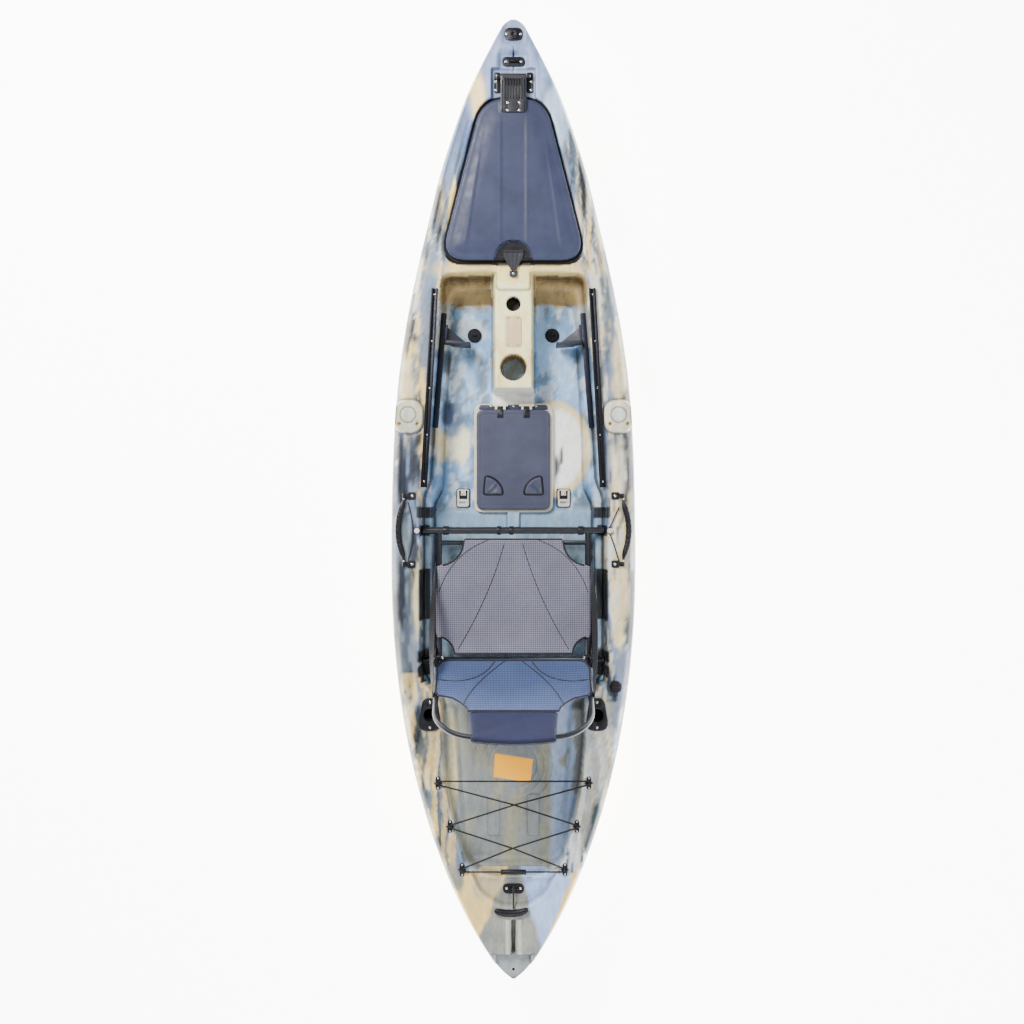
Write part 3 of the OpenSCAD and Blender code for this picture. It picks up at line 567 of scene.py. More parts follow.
def make_stage():
    bm = bmesh.new()
    bmesh.ops.create_grid(bm, x_segments=4, y_segments=4, size=9)
    mesh = bpy.data.meshes.new("floor")
    bm.to_mesh(mesh)
    bm.free()
    floor = bpy.data.objects.new("floor", mesh)
    floor.location.z = -0.002
    bpy.context.collection.objects.link(floor)
    paint, nt, shader = new_material("floor_white")
    shader.inputs["Base Color"].default_value = (0.93, 0.93, 0.93, 1)
    shader.inputs["Roughness"].default_value = 0.9
    shader.inputs["Emission Color"].default_value = (1, 1, 1, 1)
    shader.inputs["Emission Strength"].default_value = 9.0
    mesh.materials.append(paint)
    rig.stage(floor)
    world = bpy.data.worlds.new("studio")
    world.use_nodes = True
    world.node_tree.nodes["Background"].inputs["Color"].default_value = (0.93, 0.96, 1, 1)
    world.node_tree.nodes["Background"].inputs["Strength"].default_value = 0.42
    bpy.context.scene.world = world
    area_light("key", (-1.7, 2.0, 3.4), (1.2, 1.2), 275, (1, 0.98, 0.95))
    area_light("fill", (2.4, -0.6, 3.0), (2.5, 3.5), 72, (0.93, 0.96, 1))
    area_light("tail", (0.4, -3.4, 2.6), (2.5, 1.6), 70)


# ---------- materials ----------
def new_material(name):
    material = bpy.data.materials.new(name)
    material.use_nodes = True
    nt = material.node_tree
    return material, nt, nt.nodes["Principled BSDF"]


def feed(nt, socket, value):
    if isinstance(value, bpy.types.NodeSocket):
        nt.links.new(value, socket)
    else:
        socket.default_value = value


def node(nt, kind, inputs=None, **settings):
    made = nt.nodes.new(kind)
    for key, value in settings.items():
        setattr(made, key, value)
    for key, value in (inputs or {}).items():
        feed(nt, made.inputs[key], value)
    return made


def maths(nt, operation, *values):
    return node(nt, "ShaderNodeMath", dict(enumerate(values)), operation=operation).outputs[0]


def place(nt, scale=(1, 1, 1), turn=(0, 0, 0)):
    where = node(nt, "ShaderNodeTexCoord").outputs["Object"]
    return node(nt, "ShaderNodeMapping", {"Vector": where, "Scale": scale, "Rotation": turn}).outputs["Vector"]


def noise(nt, where, scale, detail=3.0, rough=0.55, warp=0.0):
    return node(nt, "ShaderNodeTexNoise", {"Vector": where, "Scale": scale, "Detail": detail, "Roughness": rough,
                                           "Distortion": warp}).outputs["Fac"]


def ramp(nt, value, stops):
    made = node(nt, "ShaderNodeValToRGB", {"Fac": value})
    bar = made.color_ramp
    while len(bar.elements) < len(stops):
        bar.elements.new(0.5)
    for element, (at, colour) in zip(bar.elements, stops):
        element.position, element.color = at, (*colour, 1)
    return made.outputs["Color"]


def mix(nt, share, a, b, how="MIX"):
    made = node(nt, "ShaderNodeMix", data_type="RGBA", blend_type=how)
    for i, value in ((0, share), (6, a), (7, b)):
        feed(nt, made.inputs[i], (*value, 1) if isinstance(value, tuple) else value)
    return made.outputs[2]


def uneven_gloss(nt, shader, values, low, high):
    gloss = ramp(nt, values, [(0.3, (low,) * 3), (0.7, (high,) * 3)])
    nt.links.new(gloss, shader.inputs["Roughness"])


def spots(nt, values, start, full):
    """A mask that is black up to start and white from full."""
    return ramp(nt, values, [(start, (0, 0, 0)), (full, (1, 1, 1))])


def bump(nt, shader, height, strength, depth):
    made = node(nt, "ShaderNodeBump", {"Height": height, "Strength": strength, "Distance": depth * MM})
    old = shader.inputs["Normal"].links
    if old:
        nt.links.new(old[0].from_socket, made.inputs["Normal"])
    nt.links.new(made.outputs["Normal"], shader.inputs["Normal"])


def scaled(colour, k):
    return tuple(min(1.0, c * k) for c in colour)


def plastic(name, colour, rough=0.5, grain=900.0, grain_depth=0.12, spread=0.18, edge=1.35, specular=0.4):
    """Moulded plastic: mottled colour, fine grain, duller in patches, paler on worn edges."""
    material, nt, shader = new_material(name)
    where = place(nt)
    broad = noise(nt, where, 9, 4)
    fine = noise(nt, where, grain, 2)
    tone = ramp(nt, broad, [(0.3, scaled(colour, 1 - spread)), (0.7, scaled(colour, 1 + spread))])
    dust = spots(nt, noise(nt, where, 160, 3), 0.62, 0.78)
    tone = mix(nt, maths(nt, "MULTIPLY", dust, 0.12), tone, scaled(colour, 1.9))
    bent = node(nt, "ShaderNodeNewGeometry").outputs["Pointiness"]
    worn = spots(nt, bent, 0.52, 0.62)
    tone = mix(nt, maths(nt, "MULTIPLY", worn, 0.45), tone, scaled(tuple(c + 0.012 for c in colour), edge))
    nt.links.new(tone, shader.inputs["Base Color"])
    uneven_gloss(nt, shader, noise(nt, where, 30, 3), rough - 0.08, rough + 0.1)
    shader.inputs["Specular IOR Level"].default_value = specular
    bump(nt, shader, fine, 0.5, grain_depth)
    return material


def metal(name, colour, rough, streak=(1, 1, 1)):
    material, nt, shader = new_material(name)
    where = place(nt, streak)
    grain = noise(nt, where, 300, 4)
    tone = ramp(nt, grain, [(0.3, scaled(colour, 0.82)), (0.7, scaled(colour, 1.12))])
    nt.links.new(tone, shader.inputs["Base Color"])
    uneven_gloss(nt, shader, noise(nt, where, 90, 3), rough - 0.07, rough + 0.1)
    shader.inputs["Metallic"].default_value = 1.0
    bump(nt, shader, grain, 0.4, 0.05)
    return material


def weave(name, light, dark, pitch, rough=0.8, depth=0.5, open_share=0.5, sheen=0.2):
    """Woven or knitted cloth: two crossing sets of threads with dark gaps, in the piece's own plane."""
    material, nt, shader = new_material(name)
    where = place(nt, turn=(0, 0, math.radians(45)))
    split = node(nt, "ShaderNodeSeparateXYZ", {"Vector": where})
    turns = 2 * math.pi / (pitch * MM)
    across = maths(nt, "SINE", maths(nt, "MULTIPLY", split.outputs["X"], turns))
    along = maths(nt, "SINE", maths(nt, "MULTIPLY", split.outputs["Y"], turns))
    cell = maths(nt, "MULTIPLY", across, along)
    hole = maths(nt, "MULTIPLY_ADD", cell, 0.5, 0.5)
    threads = ramp(nt, hole, [(0.5 - open_share * 0.42, dark), (0.5 + open_share * 0.3, light)])
    soil = ramp(nt, noise(nt, place(nt), 7, 4), [(0.3, (0.84,) * 3), (0.7, (1.08,) * 3)])
    threads = mix(nt, 1.0, threads, soil, "MULTIPLY")
    nt.links.new(threads, shader.inputs["Base Color"])
    shader.inputs["Roughness"].default_value = rough
    shader.inputs["Sheen Weight"].default_value = sheen
    shader.inputs["Specular IOR Level"].default_value = 0.2
    shader.inputs["Sheen Roughness"].default_value = 0.5
    bump(nt, shader, hole, 0.6, depth)
    bump(nt, shader, noise(nt, place(nt), 1400, 2), 0.3, 0.15)
    return material


def hull_plastic():
    """Polyethylene with its swirl, and painted shade and highlight, in the vertex colours; the shader adds speckle,
    scuffs and orange-peel grain.
    """
    material, nt, shader = new_material("hull_camouflage")
    swirl = node(nt, "ShaderNodeVertexColor", layer_name="swirl").outputs["Color"]
    where = place(nt, (1, 0.45, 1))
    fleck = noise(nt, where, 130, 5, 0.7, 0.6)
    flecks = ramp(nt, fleck, [(0.28, (0.80, 0.81, 0.84)), (0.5, (1, 1, 1)), (0.76, (1.12, 1.1, 1.05))])
    tone = mix(nt, 1.0, swirl, flecks, "MULTIPLY")
    fine = noise(nt, place(nt), 900, 2)
    speck = spots(nt, noise(nt, place(nt), 420, 2), 0.66, 0.74)
    tone = mix(nt, maths(nt, "MULTIPLY", speck, 0.22), tone, (0.10, 0.12, 0.15))
    scuff = spots(nt, noise(nt, place(nt, (1, 0.08, 1)), 260, 3), 0.68, 0.8)
    tone = mix(nt, maths(nt, "MULTIPLY", scuff, 0.14), tone, (0.9, 0.9, 0.88))
    nt.links.new(tone, shader.inputs["Base Color"])
    uneven_gloss(nt, shader, noise(nt, where, 22, 4), 0.34, 0.52)
    shader.inputs["Specular IOR Level"].default_value = 0.42
    bump(nt, shader, fine, 0.35, 0.16)
    bump(nt, shader, noise(nt, place(nt), 60, 3), 0.35, 0.5)
    return material


# ---------- camouflage ----------
CREAM, TAN, PALE = (0.80, 0.64, 0.34), (0.36, 0.28, 0.16), (0.58, 0.69, 0.84)
SLATE, NAVY, WHITE = (0.11, 0.17, 0.29), (0.008, 0.014, 0.030), (0.86, 0.86, 0.84)


def lattice(x, y, seed):
    """Smooth value noise, 0 to 1, from a hash of each cell's corners."""
    i, j = np.floor(x), np.floor(y)
    u, v = ease(x - i), ease(y - j)

    def corner(a, b):
        s = np.sin(a * 127.1 + b * 311.7 + seed * 74.7) * 43758.5453
        return s - np.floor(s)

    low = corner(i, j) * (1 - u) + corner(i + 1, j) * u
    high = corner(i, j + 1) * (1 - u) + corner(i + 1, j + 1) * u
    return low * (1 - v) + high * v


def cloud(x, y, seed, octaves=4):
    """Layers of value noise, each finer and fainter."""
    total, size, weight = 0, 0.5, 0
    for k in range(octaves):
        total = total + size * lattice(x * 2**k, y * 2**k, seed + 11 * k)
        weight, size = weight + size, size * 0.55
    return total / weight


# rows of patches: colour, share, roughness of the edge, then centre and half lengths of each ellipse
WARM, BLUE_BLACK, GREEN_BLACK = (0.74, 0.66, 0.46), (0.015, 0.022, 0.05), (0.015, 0.04, 0.05)
bow_patches = [
    (CREAM, 0.95, 0.35, (-124, 1392, 30, 80)),
    ((0.09, 0.14, 0.26), 0.85, 0.6, (-178, 1275, 34, 80)),
    (PALE, 0.8, 0.5, (150, 1330, 45, 130)),
    ((0.10, 0.16, 0.28), 0.9, 0.8, (-232, 1190, 34, 110)),
    (CREAM, 0.8, 0.9, (-262, 1080, 16, 90))]
deck_streaks = [
    (NAVY, 0.92, 0.9, (-262, 1000, 14, 110), (-318, 905, 18, 60), (-372, 640, 14, 120), (-345, -205, 14, 110),
     (-392, 110, 16, 120), (335, -640, 18, 50), (340, -1010, 18, 80), (262, -1150, 22, 80), (-262, -1195, 26, 70),
     (-341, -780, 15, 62), (-357, -640, 7, 90), (-412, 330, 9, 90), (330, 900, 9, 150), (404, -330, 10, 130),
     (404, 120, 9, 90), (-330, 220, 10, 120), (-410, -420, 9, 120), (243, 1120, 9, 120), (-388, -330, 13, 110),
     (-386, 60, 15, 90), (-350, 150, 12, 90), (232, 1190, 7, 90)),
    (WARM, 0.8, 0.7, (370, 460, 30, 150), (375, -300, 30, 180), (-372, 420, 26, 90), (300, 1010, 14, 120))]
port_floor_patches = [
    ((0.86, 0.82, 0.66), 1, 0.8, (-195, 195, 66, 60)),
    (WARM, 0.9, 0.5, (-262, 195, 22, 60))]
floor_patches = [
    (NAVY, 0.95, 0.5, (156, 122, 9, 58)),
    (NAVY, 0.9, 0.5, (172, 160, 5, 30)),
    (BLUE_BLACK, 0.92, 0.5, (-236, 305, 26, 50)),
    ((0.14, 0.18, 0.28), 0.5, 0.9, (-200, 290, 50, 50)),
    ((0.06, 0.08, 0.10), 0.8, 0.7, (-238, 500, 18, 60)),
    ((0.62, 0.70, 0.78), 0.7, 0.9, (-150, 620, 60, 40))]
stern_streaks = [
    (GREEN_BLACK, 0.92, 0.9, (345, -1000, 14, 90), (292, -1120, 18, 90), (-268, -1190, 26, 60), (-318, -1060, 12, 80))]
late_deck_patches = [
    ((0.74, 0.66, 0.48), 0.8, 0.5, (-334, -330, 13, 130)),
    ((0.78, 0.74, 0.60), 0.7, 0.6, (372, 90, 22, 150)),
    ((0.30, 0.31, 0.28), 0.7, 0.3, (-205, -1300, 34, 50))]
# dark recesses beside the seat: place along the deck, half width and half length
shadows = [(-38, 24, 18), (-101, 14, 18), (-540, 22, 18), (-592, 22, 18), (-326, 16, 88)]


def swirl_colours(x, y, z):
    """Linear colour of the moulded plastic at each point, with painted shadow in the seat notches and side recesses and
    painted shade down the peg hole.
    """
    flip = np.where(x < 0, 37.0, 0.0)
    wx = x + 30 * (cloud(x / 150, y / 240, 5) - 0.5) * 2
    wy = y + 70 * (cloud(x / 160, y / 280, 6) - 0.5) * 2
    colour = np.zeros((x.size, 3))

    def paint(share, tone):
        share = np.clip(share, 0, 1)[:, None]
        colour[:] = colour * (1 - share) + np.array(tone) * share

    def spot(cx, cy, rx, ry, strength=1.0, rough=0.5):
        d = np.hypot((x - cx) / rx, (y - cy) / ry) + rough * (cloud(x / 30, y / 90, cx + cy) - 0.5) * 2
        return strength * ease((1.25 - d) / 0.6)

    def patches(region, rows):
        for tone, share, rough, *ellipses in rows:
            for ellipse in ellipses:
                paint(region * spot(*ellipse, share, rough), tone)

    def swirl(sx, sy, seed, level, blur):
        """Mask of a warped cloud, with lumps of about sx by sy, where it rises over level."""
        return ease((cloud(wx / sx, wy / sy, seed) - level) / blur)

    def mottle(sx, sy, seed, level, blur):
        """The same, unwarped."""
        return ease((cloud(x / sx, y / sy, seed) - level) / blur)

    share = np.abs(x) / half_beam(y)
    broad = cloud(wx / 75, wy / 300, 1)
    streak = cloud(wx / 20 + flip, wy / 230, 2)
    thread = cloud(wx / 9 + flip, wy / 150, 7)
    paint(np.ones(x.shape), CREAM)
    paint(0.8 * ease((broad - 0.45) / 0.14), PALE)
    # side decks: cream and pale streaks, slate ones over them, dark ones near the gunwale
    deck = z > 252
    side = ease((share - 0.5) / 0.25)
    outer = ease((share - 0.70) / 0.2)
    paint(deck * 0.55 * side * ease((x + 40) / 120), PALE)
    paint(deck * 0.8 * side * ease((thread - 0.5) / 0.12), CREAM)
    paint(deck * 0.8 * side * swirl(26, 190, 3, np.where(x < 0, 0.455, 0.52), 0.09), SLATE)
    paint(deck * 0.75 * side * swirl(12, 210, 17, np.where(x < 0, 0.52, 0.57), 0.09), (0.06, 0.08, 0.10))
    dark_run = ease((cloud(x / 300 + flip, y / 330, 4) - 0.44) / 0.1)
    paint(outer * 0.9 * ease((streak - 0.57) / 0.07) * dark_run, NAVY)
    paint(outer * 0.5 * ease((cloud(wx / 15 + flip, wy / 300, 18) - 0.5) / 0.12), (0.20, 0.23, 0.22))
    # bow
    patches(deck, [((0.25, 0.31, 0.47), 0.9, 0.5, (0, 1530, 190, 260)),
                   ((0.42, 0.50, 0.66), 0.5, 0.9, (60, 1470, 60, 90))])
    paint(deck * ease((1 - np.abs(x) / 6 - np.abs(y - 1520) / 44) / 0.3), (0.03, 0.03, 0.04))
    patches(deck, bow_patches + deck_streaks)
    # cockpit: brown walls forward, blue-grey floors, cream and white patches
    inside = (np.abs(x) < 320) & (y > -640) & (y < 800) & (z < 292)
    paint(inside * 1.0, (0.23, 0.35, 0.52))
    paint(inside * 0.85 * swirl(80, 130, 8, 0.47, 0.14), (0.44, 0.59, 0.80))
    paint(inside * 0.7 * swirl(50, 80, 9, 0.56, 0.1), (0.17, 0.20, 0.23))
    paint(inside * 0.6 * swirl(26, 60, 19, 0.58, 0.1), (0.72, 0.76, 0.80))
    paint(inside * ease((z - 150) / 60) * (y > 540) * 0.5, (0.50, 0.42, 0.26))
    paint(inside * (y > 0) * ease((y - 690 - 30 * (cloud(x / 40, y / 40, 20) - 0.5)) / 22), TAN)
    paint(inside * ease((y - 660) / 30) * 0.7 * mottle(24, 30, 21, 0.5, 0.15), (0.22, 0.17, 0.10))
    patches(inside, port_floor_patches)
    moon = np.hypot((x - 150) / 118, (y - 190) / 165)
    starboard = inside * (x > 60)
    paint(starboard * 0.9 * ease((1.1 - moon) / 0.1), (0.80, 0.69, 0.42))
    paint(starboard * ease((0.95 - moon) / 0.16), (0.92, 0.93, 0.93))
    patches(inside, floor_patches)
    paint(inside * (y < -20) * 0.6, (0.30, 0.36, 0.38))
    paint(inside * (y < -30) * (y > -104) * 0.6, (0.30, 0.42, 0.55))
    # console and the cross deck behind the bow hatch
    middle = (np.abs(x) < 80) & (y > 380) & (y < 830) & (z > 160)
    paint(middle * 0.97, (1.0, 0.86, 0.54))
    paint(middle * 0.6 * mottle(50, 80, 12, 0.52, 0.15), (1.0, 0.95, 0.78))
    rim = ease((60 - np.abs(np.abs(x) - 76)) / 60)
    paint(middle * 0.6 * rim * mottle(20, 60, 22, 0.55, 0.1), (0.55, 0.42, 0.24))
    cross = deck * spot(0, 806, 280, 52, 1, 0.25)
    paint(cross * 0.92, (0.90, 0.74, 0.42))
    paint((np.abs(x) < 75) & (y > 340) & (y < 396) & (z > 118) & (z < 270), WHITE)
    cup = np.hypot(x, y - cup_y)
    paint((cup < cup_r + 4) * (z < 272), (0.34, 0.27, 0.16))
    paint((cup < cup_r - 3) * (z < 160), (0.50, 0.60, 0.70))
    # painted shade down the round peg hole, darker below the deck
    paint((np.hypot(x, y - peg_y) < 27) * ease((280 - z) / 16), (0.030, 0.020, 0.012))
    # tank well: grey, with cream ledges to port and pale ones to starboard
    tank = (y < -600) & (y > -1300) & (np.abs(x) < 250) & (z < 285)
    paint(tank * 1.0, (0.34, 0.335, 0.27))
    paint(tank * 0.7 * swirl(60, 170, 13, 0.45, 0.15), (0.26, 0.285, 0.31))
    paint(tank * 0.85 * ease((x - 118) / 30) * mottle(60, 160, 14, 0.38, 0.1), (0.48, 0.58, 0.76))
    paint(tank * 0.6 * ease((-x - 150) / 40), (0.42, 0.44, 0.42))
    patches(tank, [((0.66, 0.60, 0.42), 0.8, 0.6, (-215, -900, 20, 160))])
    paint(deck * (y < -600) * (y > -1290) * (x < -200) * 0.6 * ease((thread - 0.4) / 0.2), CREAM)
    paint(deck * (y < -700) * (y > -1250) * (x > 195) * 0.5 * ease((0.93 - share) / 0.1), (0.76, 0.74, 0.64))
    patches(y < -600, stern_streaks)
    # stern: grey middle between a cream and a pale shoulder
    tail = y < -1285
    paint(tail * 0.95, (0.33, 0.34, 0.32))
    paint(tail * 0.5 * mottle(26, 60, 23, 0.5, 0.15), (0.24, 0.26, 0.27))
    drift = 24 * (cloud(x / 40, y / 60, 24) - 0.5)
    paint(tail * ease((-x - 66 + drift + 0.45 * (y + 1400)) / 12), CREAM)
    paint(tail * ease((x - 50 + drift + 0.31 * (y + 1400)) / 12), (0.48, 0.58, 0.80))
    paint(tail * ease((x - 150 + drift - 0.41 * (y + 1400)) / 14), CREAM)
    paint(tail * ease((y + 1395) / 30) * spot(-92, -1325, 60, 60, 0.6, 0.2), (0.42, 0.42, 0.38))
    paint((y < -1560) * 0.8, (0.34, 0.37, 0.39))
    paint(0.6 * ease((4 - np.abs(y + 1560)) / 3), (0.10, 0.11, 0.12))
    button = np.hypot(np.abs(x) - 335, y + 101)
    paint(deck * 0.85 * bell(button - 11, 2.6), (0.05, 0.05, 0.05))
    patches(deck, late_deck_patches)
    for s in (-1, 1):
        d = np.maximum(np.abs(x - s * groove_x) - 5, np.abs(y - groove_y) - 58)
        paint(0.8 * ease((3 - d) / 5), (0.56, 0.57, 0.50))
    # oval bosses: pale, with a dark line round the edge and round the inner disc
    for s, boss, disc in ((-1, (0.66, 0.64, 0.52), (0.50, 0.54, 0.52)), (1, (0.76, 0.72, 0.60), (0.62, 0.66, 0.68))):
        d = distance(x, y, soft(box(54, 60, s * pad_at[0], pad_at[1]), 50))
        r = np.hypot(x - s * pad_at[0], y - pad_at[1] - 6)
        paint(0.75 * deck * ease((2 - d) / 6), boss)
        paint(deck * 0.9 * ease((22 - r) / 6), disc)
        paint(deck * 0.75 * np.maximum(bell(r - 27, 2.6), bell(d, 2.8)), (0.16, 0.17, 0.17))
    # seat notches and side recesses lie in shadow
    for y0, w, l in shadows:
        d = np.maximum(np.abs(np.abs(x) - 311) - w, np.abs(y - y0) - l)
        paint(0.96 * ease((4 - d) / 5), (0.012, 0.013, 0.016))
    patches(tail, [((0.30, 0.31, 0.28), 0.85, 0.3, (-205, -1300, 34, 46))])
    colour *= (0.80 + 0.36 * cloud(x / 14, y / 34, 15, 3))[:, None]
    # deeper and more saturated, as the studio light washes the colours out
    mean = colour.mean(1)[:, None]
    return np.clip(1.12 * np.clip(mean + 1.22 * (colour - mean), 0, 1) ** 1.2, 0, 1)


def add_object(name, mesh, body=None):
    piece = bpy.data.objects.new(name, mesh)
    bpy.context.collection.objects.link(piece)
    if body:
        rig.ride(piece, body)
    return piece


def mesh_from(bm, name):
    mesh = bpy.data.meshes.new(name)
    bm.to_mesh(mesh)
    bm.free()
    return mesh


def store_colours(mesh, colours):
    layer = mesh.color_attributes.new("swirl", "FLOAT_COLOR", "POINT")
    layer.data.foreach_set("color", np.hstack([colours, np.ones((len(colours), 1))]).ravel())


def stands_for(piece, slot, *nodes):
    """Names the CAD nodes that a piece takes the place of, and its material slot."""
    for node_name in nodes:
        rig.replaces(piece, node_name)
    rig.slot(piece, slot)
    return piece


def grid_faces(rows, columns, closed=False):
    """Quads over points held row by row; closed joins the end of each row to its start."""
    return [(j * columns + i, j * columns + (i + 1) % columns,
             (j + 1) * columns + (i + 1) % columns, (j + 1) * columns + i)
            for j in range(rows - 1) for i in range(columns if closed else columns - 1)]


def mesh_object(name, points, faces, material, body, smooth=True, colours=None):
    """A mesh piece from points in millimetres, riding on a body (or on none, for a piece that bends between two)."""
    mesh = bpy.data.meshes.new(name)
    mesh.from_pydata((np.asarray(points, float) * MM).tolist(), [], faces)
    mesh.update()
    if colours is not None:
        store_colours(mesh, colours)
    if smooth:
        mesh.shade_smooth()
    mesh.materials.append(material)
    return add_object(name, mesh, body)


def paint_shade_and_highlight(x, y, colours):
    """Painted shade in the inside corners and on the steep walls, and painted highlight on the outside corners."""
    step = 6.0
    here = ground(x, y).z
    right, left = ground(x + step, y).z, ground(x - step, y).z
    fore, aft = ground(x, y + step).z, ground(x, y - step).z
    bend = (right + left + fore + aft) / 4 - here
    slope = np.hypot(right - left, fore - aft) / (2 * step)
    # painted shade: darker in hollows and on steep walls, with less of it in the wells, the cup and at the console's
    # end
    dark = 0.6 * ease(bend / 5) + 0.30 * ease((slope - 0.25) / 1.2)
    dark *= np.where((np.abs(x) < 255) & (y < 700) & (here < 212), 0.6, 1.0)
    dark *= np.where(np.hypot(x, y - cup_y) < cup_r, 0.25, 1.0)
    dark *= np.select([y < -1500, y < -640, y > 1380, y > 540], [0.1, 0.22, 0.4, 0.6], 1.0)
    dark *= np.where((np.abs(x) < 78) & (y > 330) & (y < 402), 0.25, 1.0)
    # painted highlight: lighter on outside bends
    tone = (1 - np.clip(dark, 0, 0.85)) * (1 + 0.35 * ease(-bend / 5))
    # painted shade along the deck's rolled edge at the gunwale
    edge = ease((np.abs(x) / half_beam(y) - 0.968) / 0.015)
    tone *= 1 - 0.72 * edge
    # dark seal line round the bow lid, widened across its rear by painted shadow
    along = along_hatch(y)
    gap = np.abs(distance(x, along, lid_plan(3)))
    wide = 8.5 + 10 * ease((40 - along) / 50)
    tone *= 1 - 0.985 * ease((wide - gap) / 4)
    return np.clip(colours * tone[:, None], 0, 1)


def hull_stations():
    """Places along the hull of its cross sections, closer together round the tips."""
    cell = 10.0 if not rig.quick() else 12.0
    tip = half - 26
    middle = np.linspace(-tip, tip, int(2 * tip / cell) + 1)
    ends = half - 26 * (1 - np.sin(np.linspace(0, math.pi / 2, 7)[1:]))
    return np.concatenate([-ends[::-1], middle, ends])


def make_deck(material):
    """The hull's upper side: a grid refined near moulded edges, lifted to the ground and coloured."""
    ys = hull_stations()
    across = np.linspace(-EDGE, EDGE, 83)
    x = across[None, :] * half_beam(ys)[:, None]
    y = np.repeat(ys[:, None], len(across), 1)
    mesh = bpy.data.meshes.new("deck_plan")
    corners = np.stack([x.ravel(), y.ravel(), np.zeros(x.size)], 1).tolist()
    mesh.from_pydata(corners, [], grid_faces(len(ys), len(across)))
    bm = bmesh.new()
    bm.from_mesh(mesh)
    bpy.data.meshes.remove(mesh)

    def plan():
        bm.verts.ensure_lookup_table()
        return np.array([v.co[:2] for v in bm.verts])

    for reach, cell in ((13, 6.5), (5.5, 3.3)):
        p = plan()
        near = ground(p[:, 0], p[:, 1]).near
        bm.verts.index_update()
        edges = [e for e in bm.edges if e.calc_length() > cell
                 and min(near[e.verts[0].index], near[e.verts[1].index]) < reach]
        bmesh.ops.subdivide_edges(bm, edges=edges, cuts=1, use_grid_fill=True)
    p = plan()
    g = ground(p[:, 0], p[:, 1])
    gone = to_cut(p[:, 0], p[:, 1])
    bm.verts.index_update()
    for v, z in zip(bm.verts, g.z):
        v.co.z = z
    bmesh.ops.delete(bm, geom=[f for f in bm.faces if all(gone[v.index] for v in f.verts)], context="FACES")
    co = np.array([v.co[:] for v in bm.verts])
    colours = paint_shade_and_highlight(co[:, 0], co[:, 1], swirl_colours(co[:, 0], co[:, 1], co[:, 2]))
    mesh = mesh_from(bm, "hull_deck")
    mesh.transform(Matrix.Scale(MM, 4))
    store_colours(mesh, colours)
    mesh.shade_smooth()
    mesh.materials.append(material)
    stands_for(add_object("hull_deck", mesh, "hull"), "hull_plastic", "hull")


def side_profile(y):
    """Half section from the deck's edge down to the keel, as control points of a smooth curve."""
    b, k, s = half_beam(y), keel_z(y), sheer_z(y)
    h, f = s - k, 1 - 0.45 * from_middle(y) ** 2
    edge = ground(EDGE * b, y).z
    return [(EDGE * b, edge), (b, k + 0.74 * h), (0.987 * b, k + 0.52 * h), (0.945 * b, k + 0.28 * h),
            ((0.55 + 0.3 * f) * b, k + 0.1 * h), (0.62 * f * b, k + 0.02 * h), (0.3 * f * b, k), (0 * b, k)]


def spline(points, n):
    """Catmull-Rom curve through rows of points, n steps to each span."""
    p = [2 * points[0] - points[1], *points, 2 * points[-1] - points[-2]]
    out = [points[0]]
    for i in range(1, len(p) - 2):
        a, b, c, d = p[i - 1:i + 3]
        for k in range(1, n + 1):
            s = k / n
            out.append(0.5 * (2 * b + (c - a) * s + (2 * a - 5 * b + 4 * c - d) * s**2
                              + (3 * b - a - 3 * c + d) * s**3))
    return out


def make_shell(material):
    """The hull's sides and bottom, with the scupper tubes."""
    ys = hull_stations()
    control = [np.stack(np.broadcast_arrays(a, c, ys)[:2], 1) for a, c in side_profile(ys)]
    rows = spline(control, 5)
    points, n = [], len(rows)
    for j, y in enumerate(ys):
        side = [(r[j][0], y, r[j][1]) for r in rows]
        points += side + [(-x, yy, z) for x, yy, z in side[-2::-1]]
    m = 2 * n - 1
    faces = [(a, d, c, b) for a, b, c, d in grid_faces(len(ys), m)]
    p = np.array(points)
    # keel grooves
    lift = 5 * bell(np.abs(p[:, 0]) - 92, 20) * ease((1000 - np.abs(p[:, 1])) / 250)
    p[:, 2] = np.where(p[:, 2] < 60, p[:, 2] + lift, p[:, 2])
    p[:, 2] = np.maximum(p[:, 2], 0.2)
    keep = []
    for f in faces:
        cx, cy, cz = p[list(f)].mean(0)
        if cz >= 90 or math.hypot(abs(cx) - plug_at[0], cy - plug_at[1]) >= scupper_r + 3:
            keep.append(f)
    # the swirl slants down the sides, and painted shade darkens the shell towards the rolled gunwale
    below = p[:, 2] - sheer_z(p[:, 1])
    slant = np.clip(p[:, 1] + 1.6 * below, 40 - half, half - 40)
    slant = np.where(np.abs(p[:, 1]) > half - 40, p[:, 1], slant)
    gunwale = 1 - 0.7 * ease((below + 95) / 60)
    colours = swirl_colours(p[:, 0], slant, np.minimum(p[:, 2] + 60, 300)) * gunwale[:, None]
    shell = mesh_object("hull_shell", p, keep, material, "hull", colours=colours)
    stands_for(shell, "hull_plastic", "hull")
    # scupper tubes with rolled rims
    for name, s in (("right", 1), ("left", -1)):
        wall = [(30, -2.5), (27, -0.6), (22, -0.3), (17.6, -1.2), (scupper_r + 0.3, -4), (scupper_r + 0.3, -60),
                (scupper_r + 0.8, -118), (22, -127), (34, -129.5)]
        at = (s * plug_at[0], plug_at[1], floor_z)
        sleeve = lathe("scupper_tube_" + name, wall, at, material, "hull", 48)
        co = np.array([v.co[:] for v in sleeve.data.vertices]) / MM
        store_colours(sleeve.data, swirl_colours(*co.T))
        stands_for(sleeve, "hull_plastic", "hull")


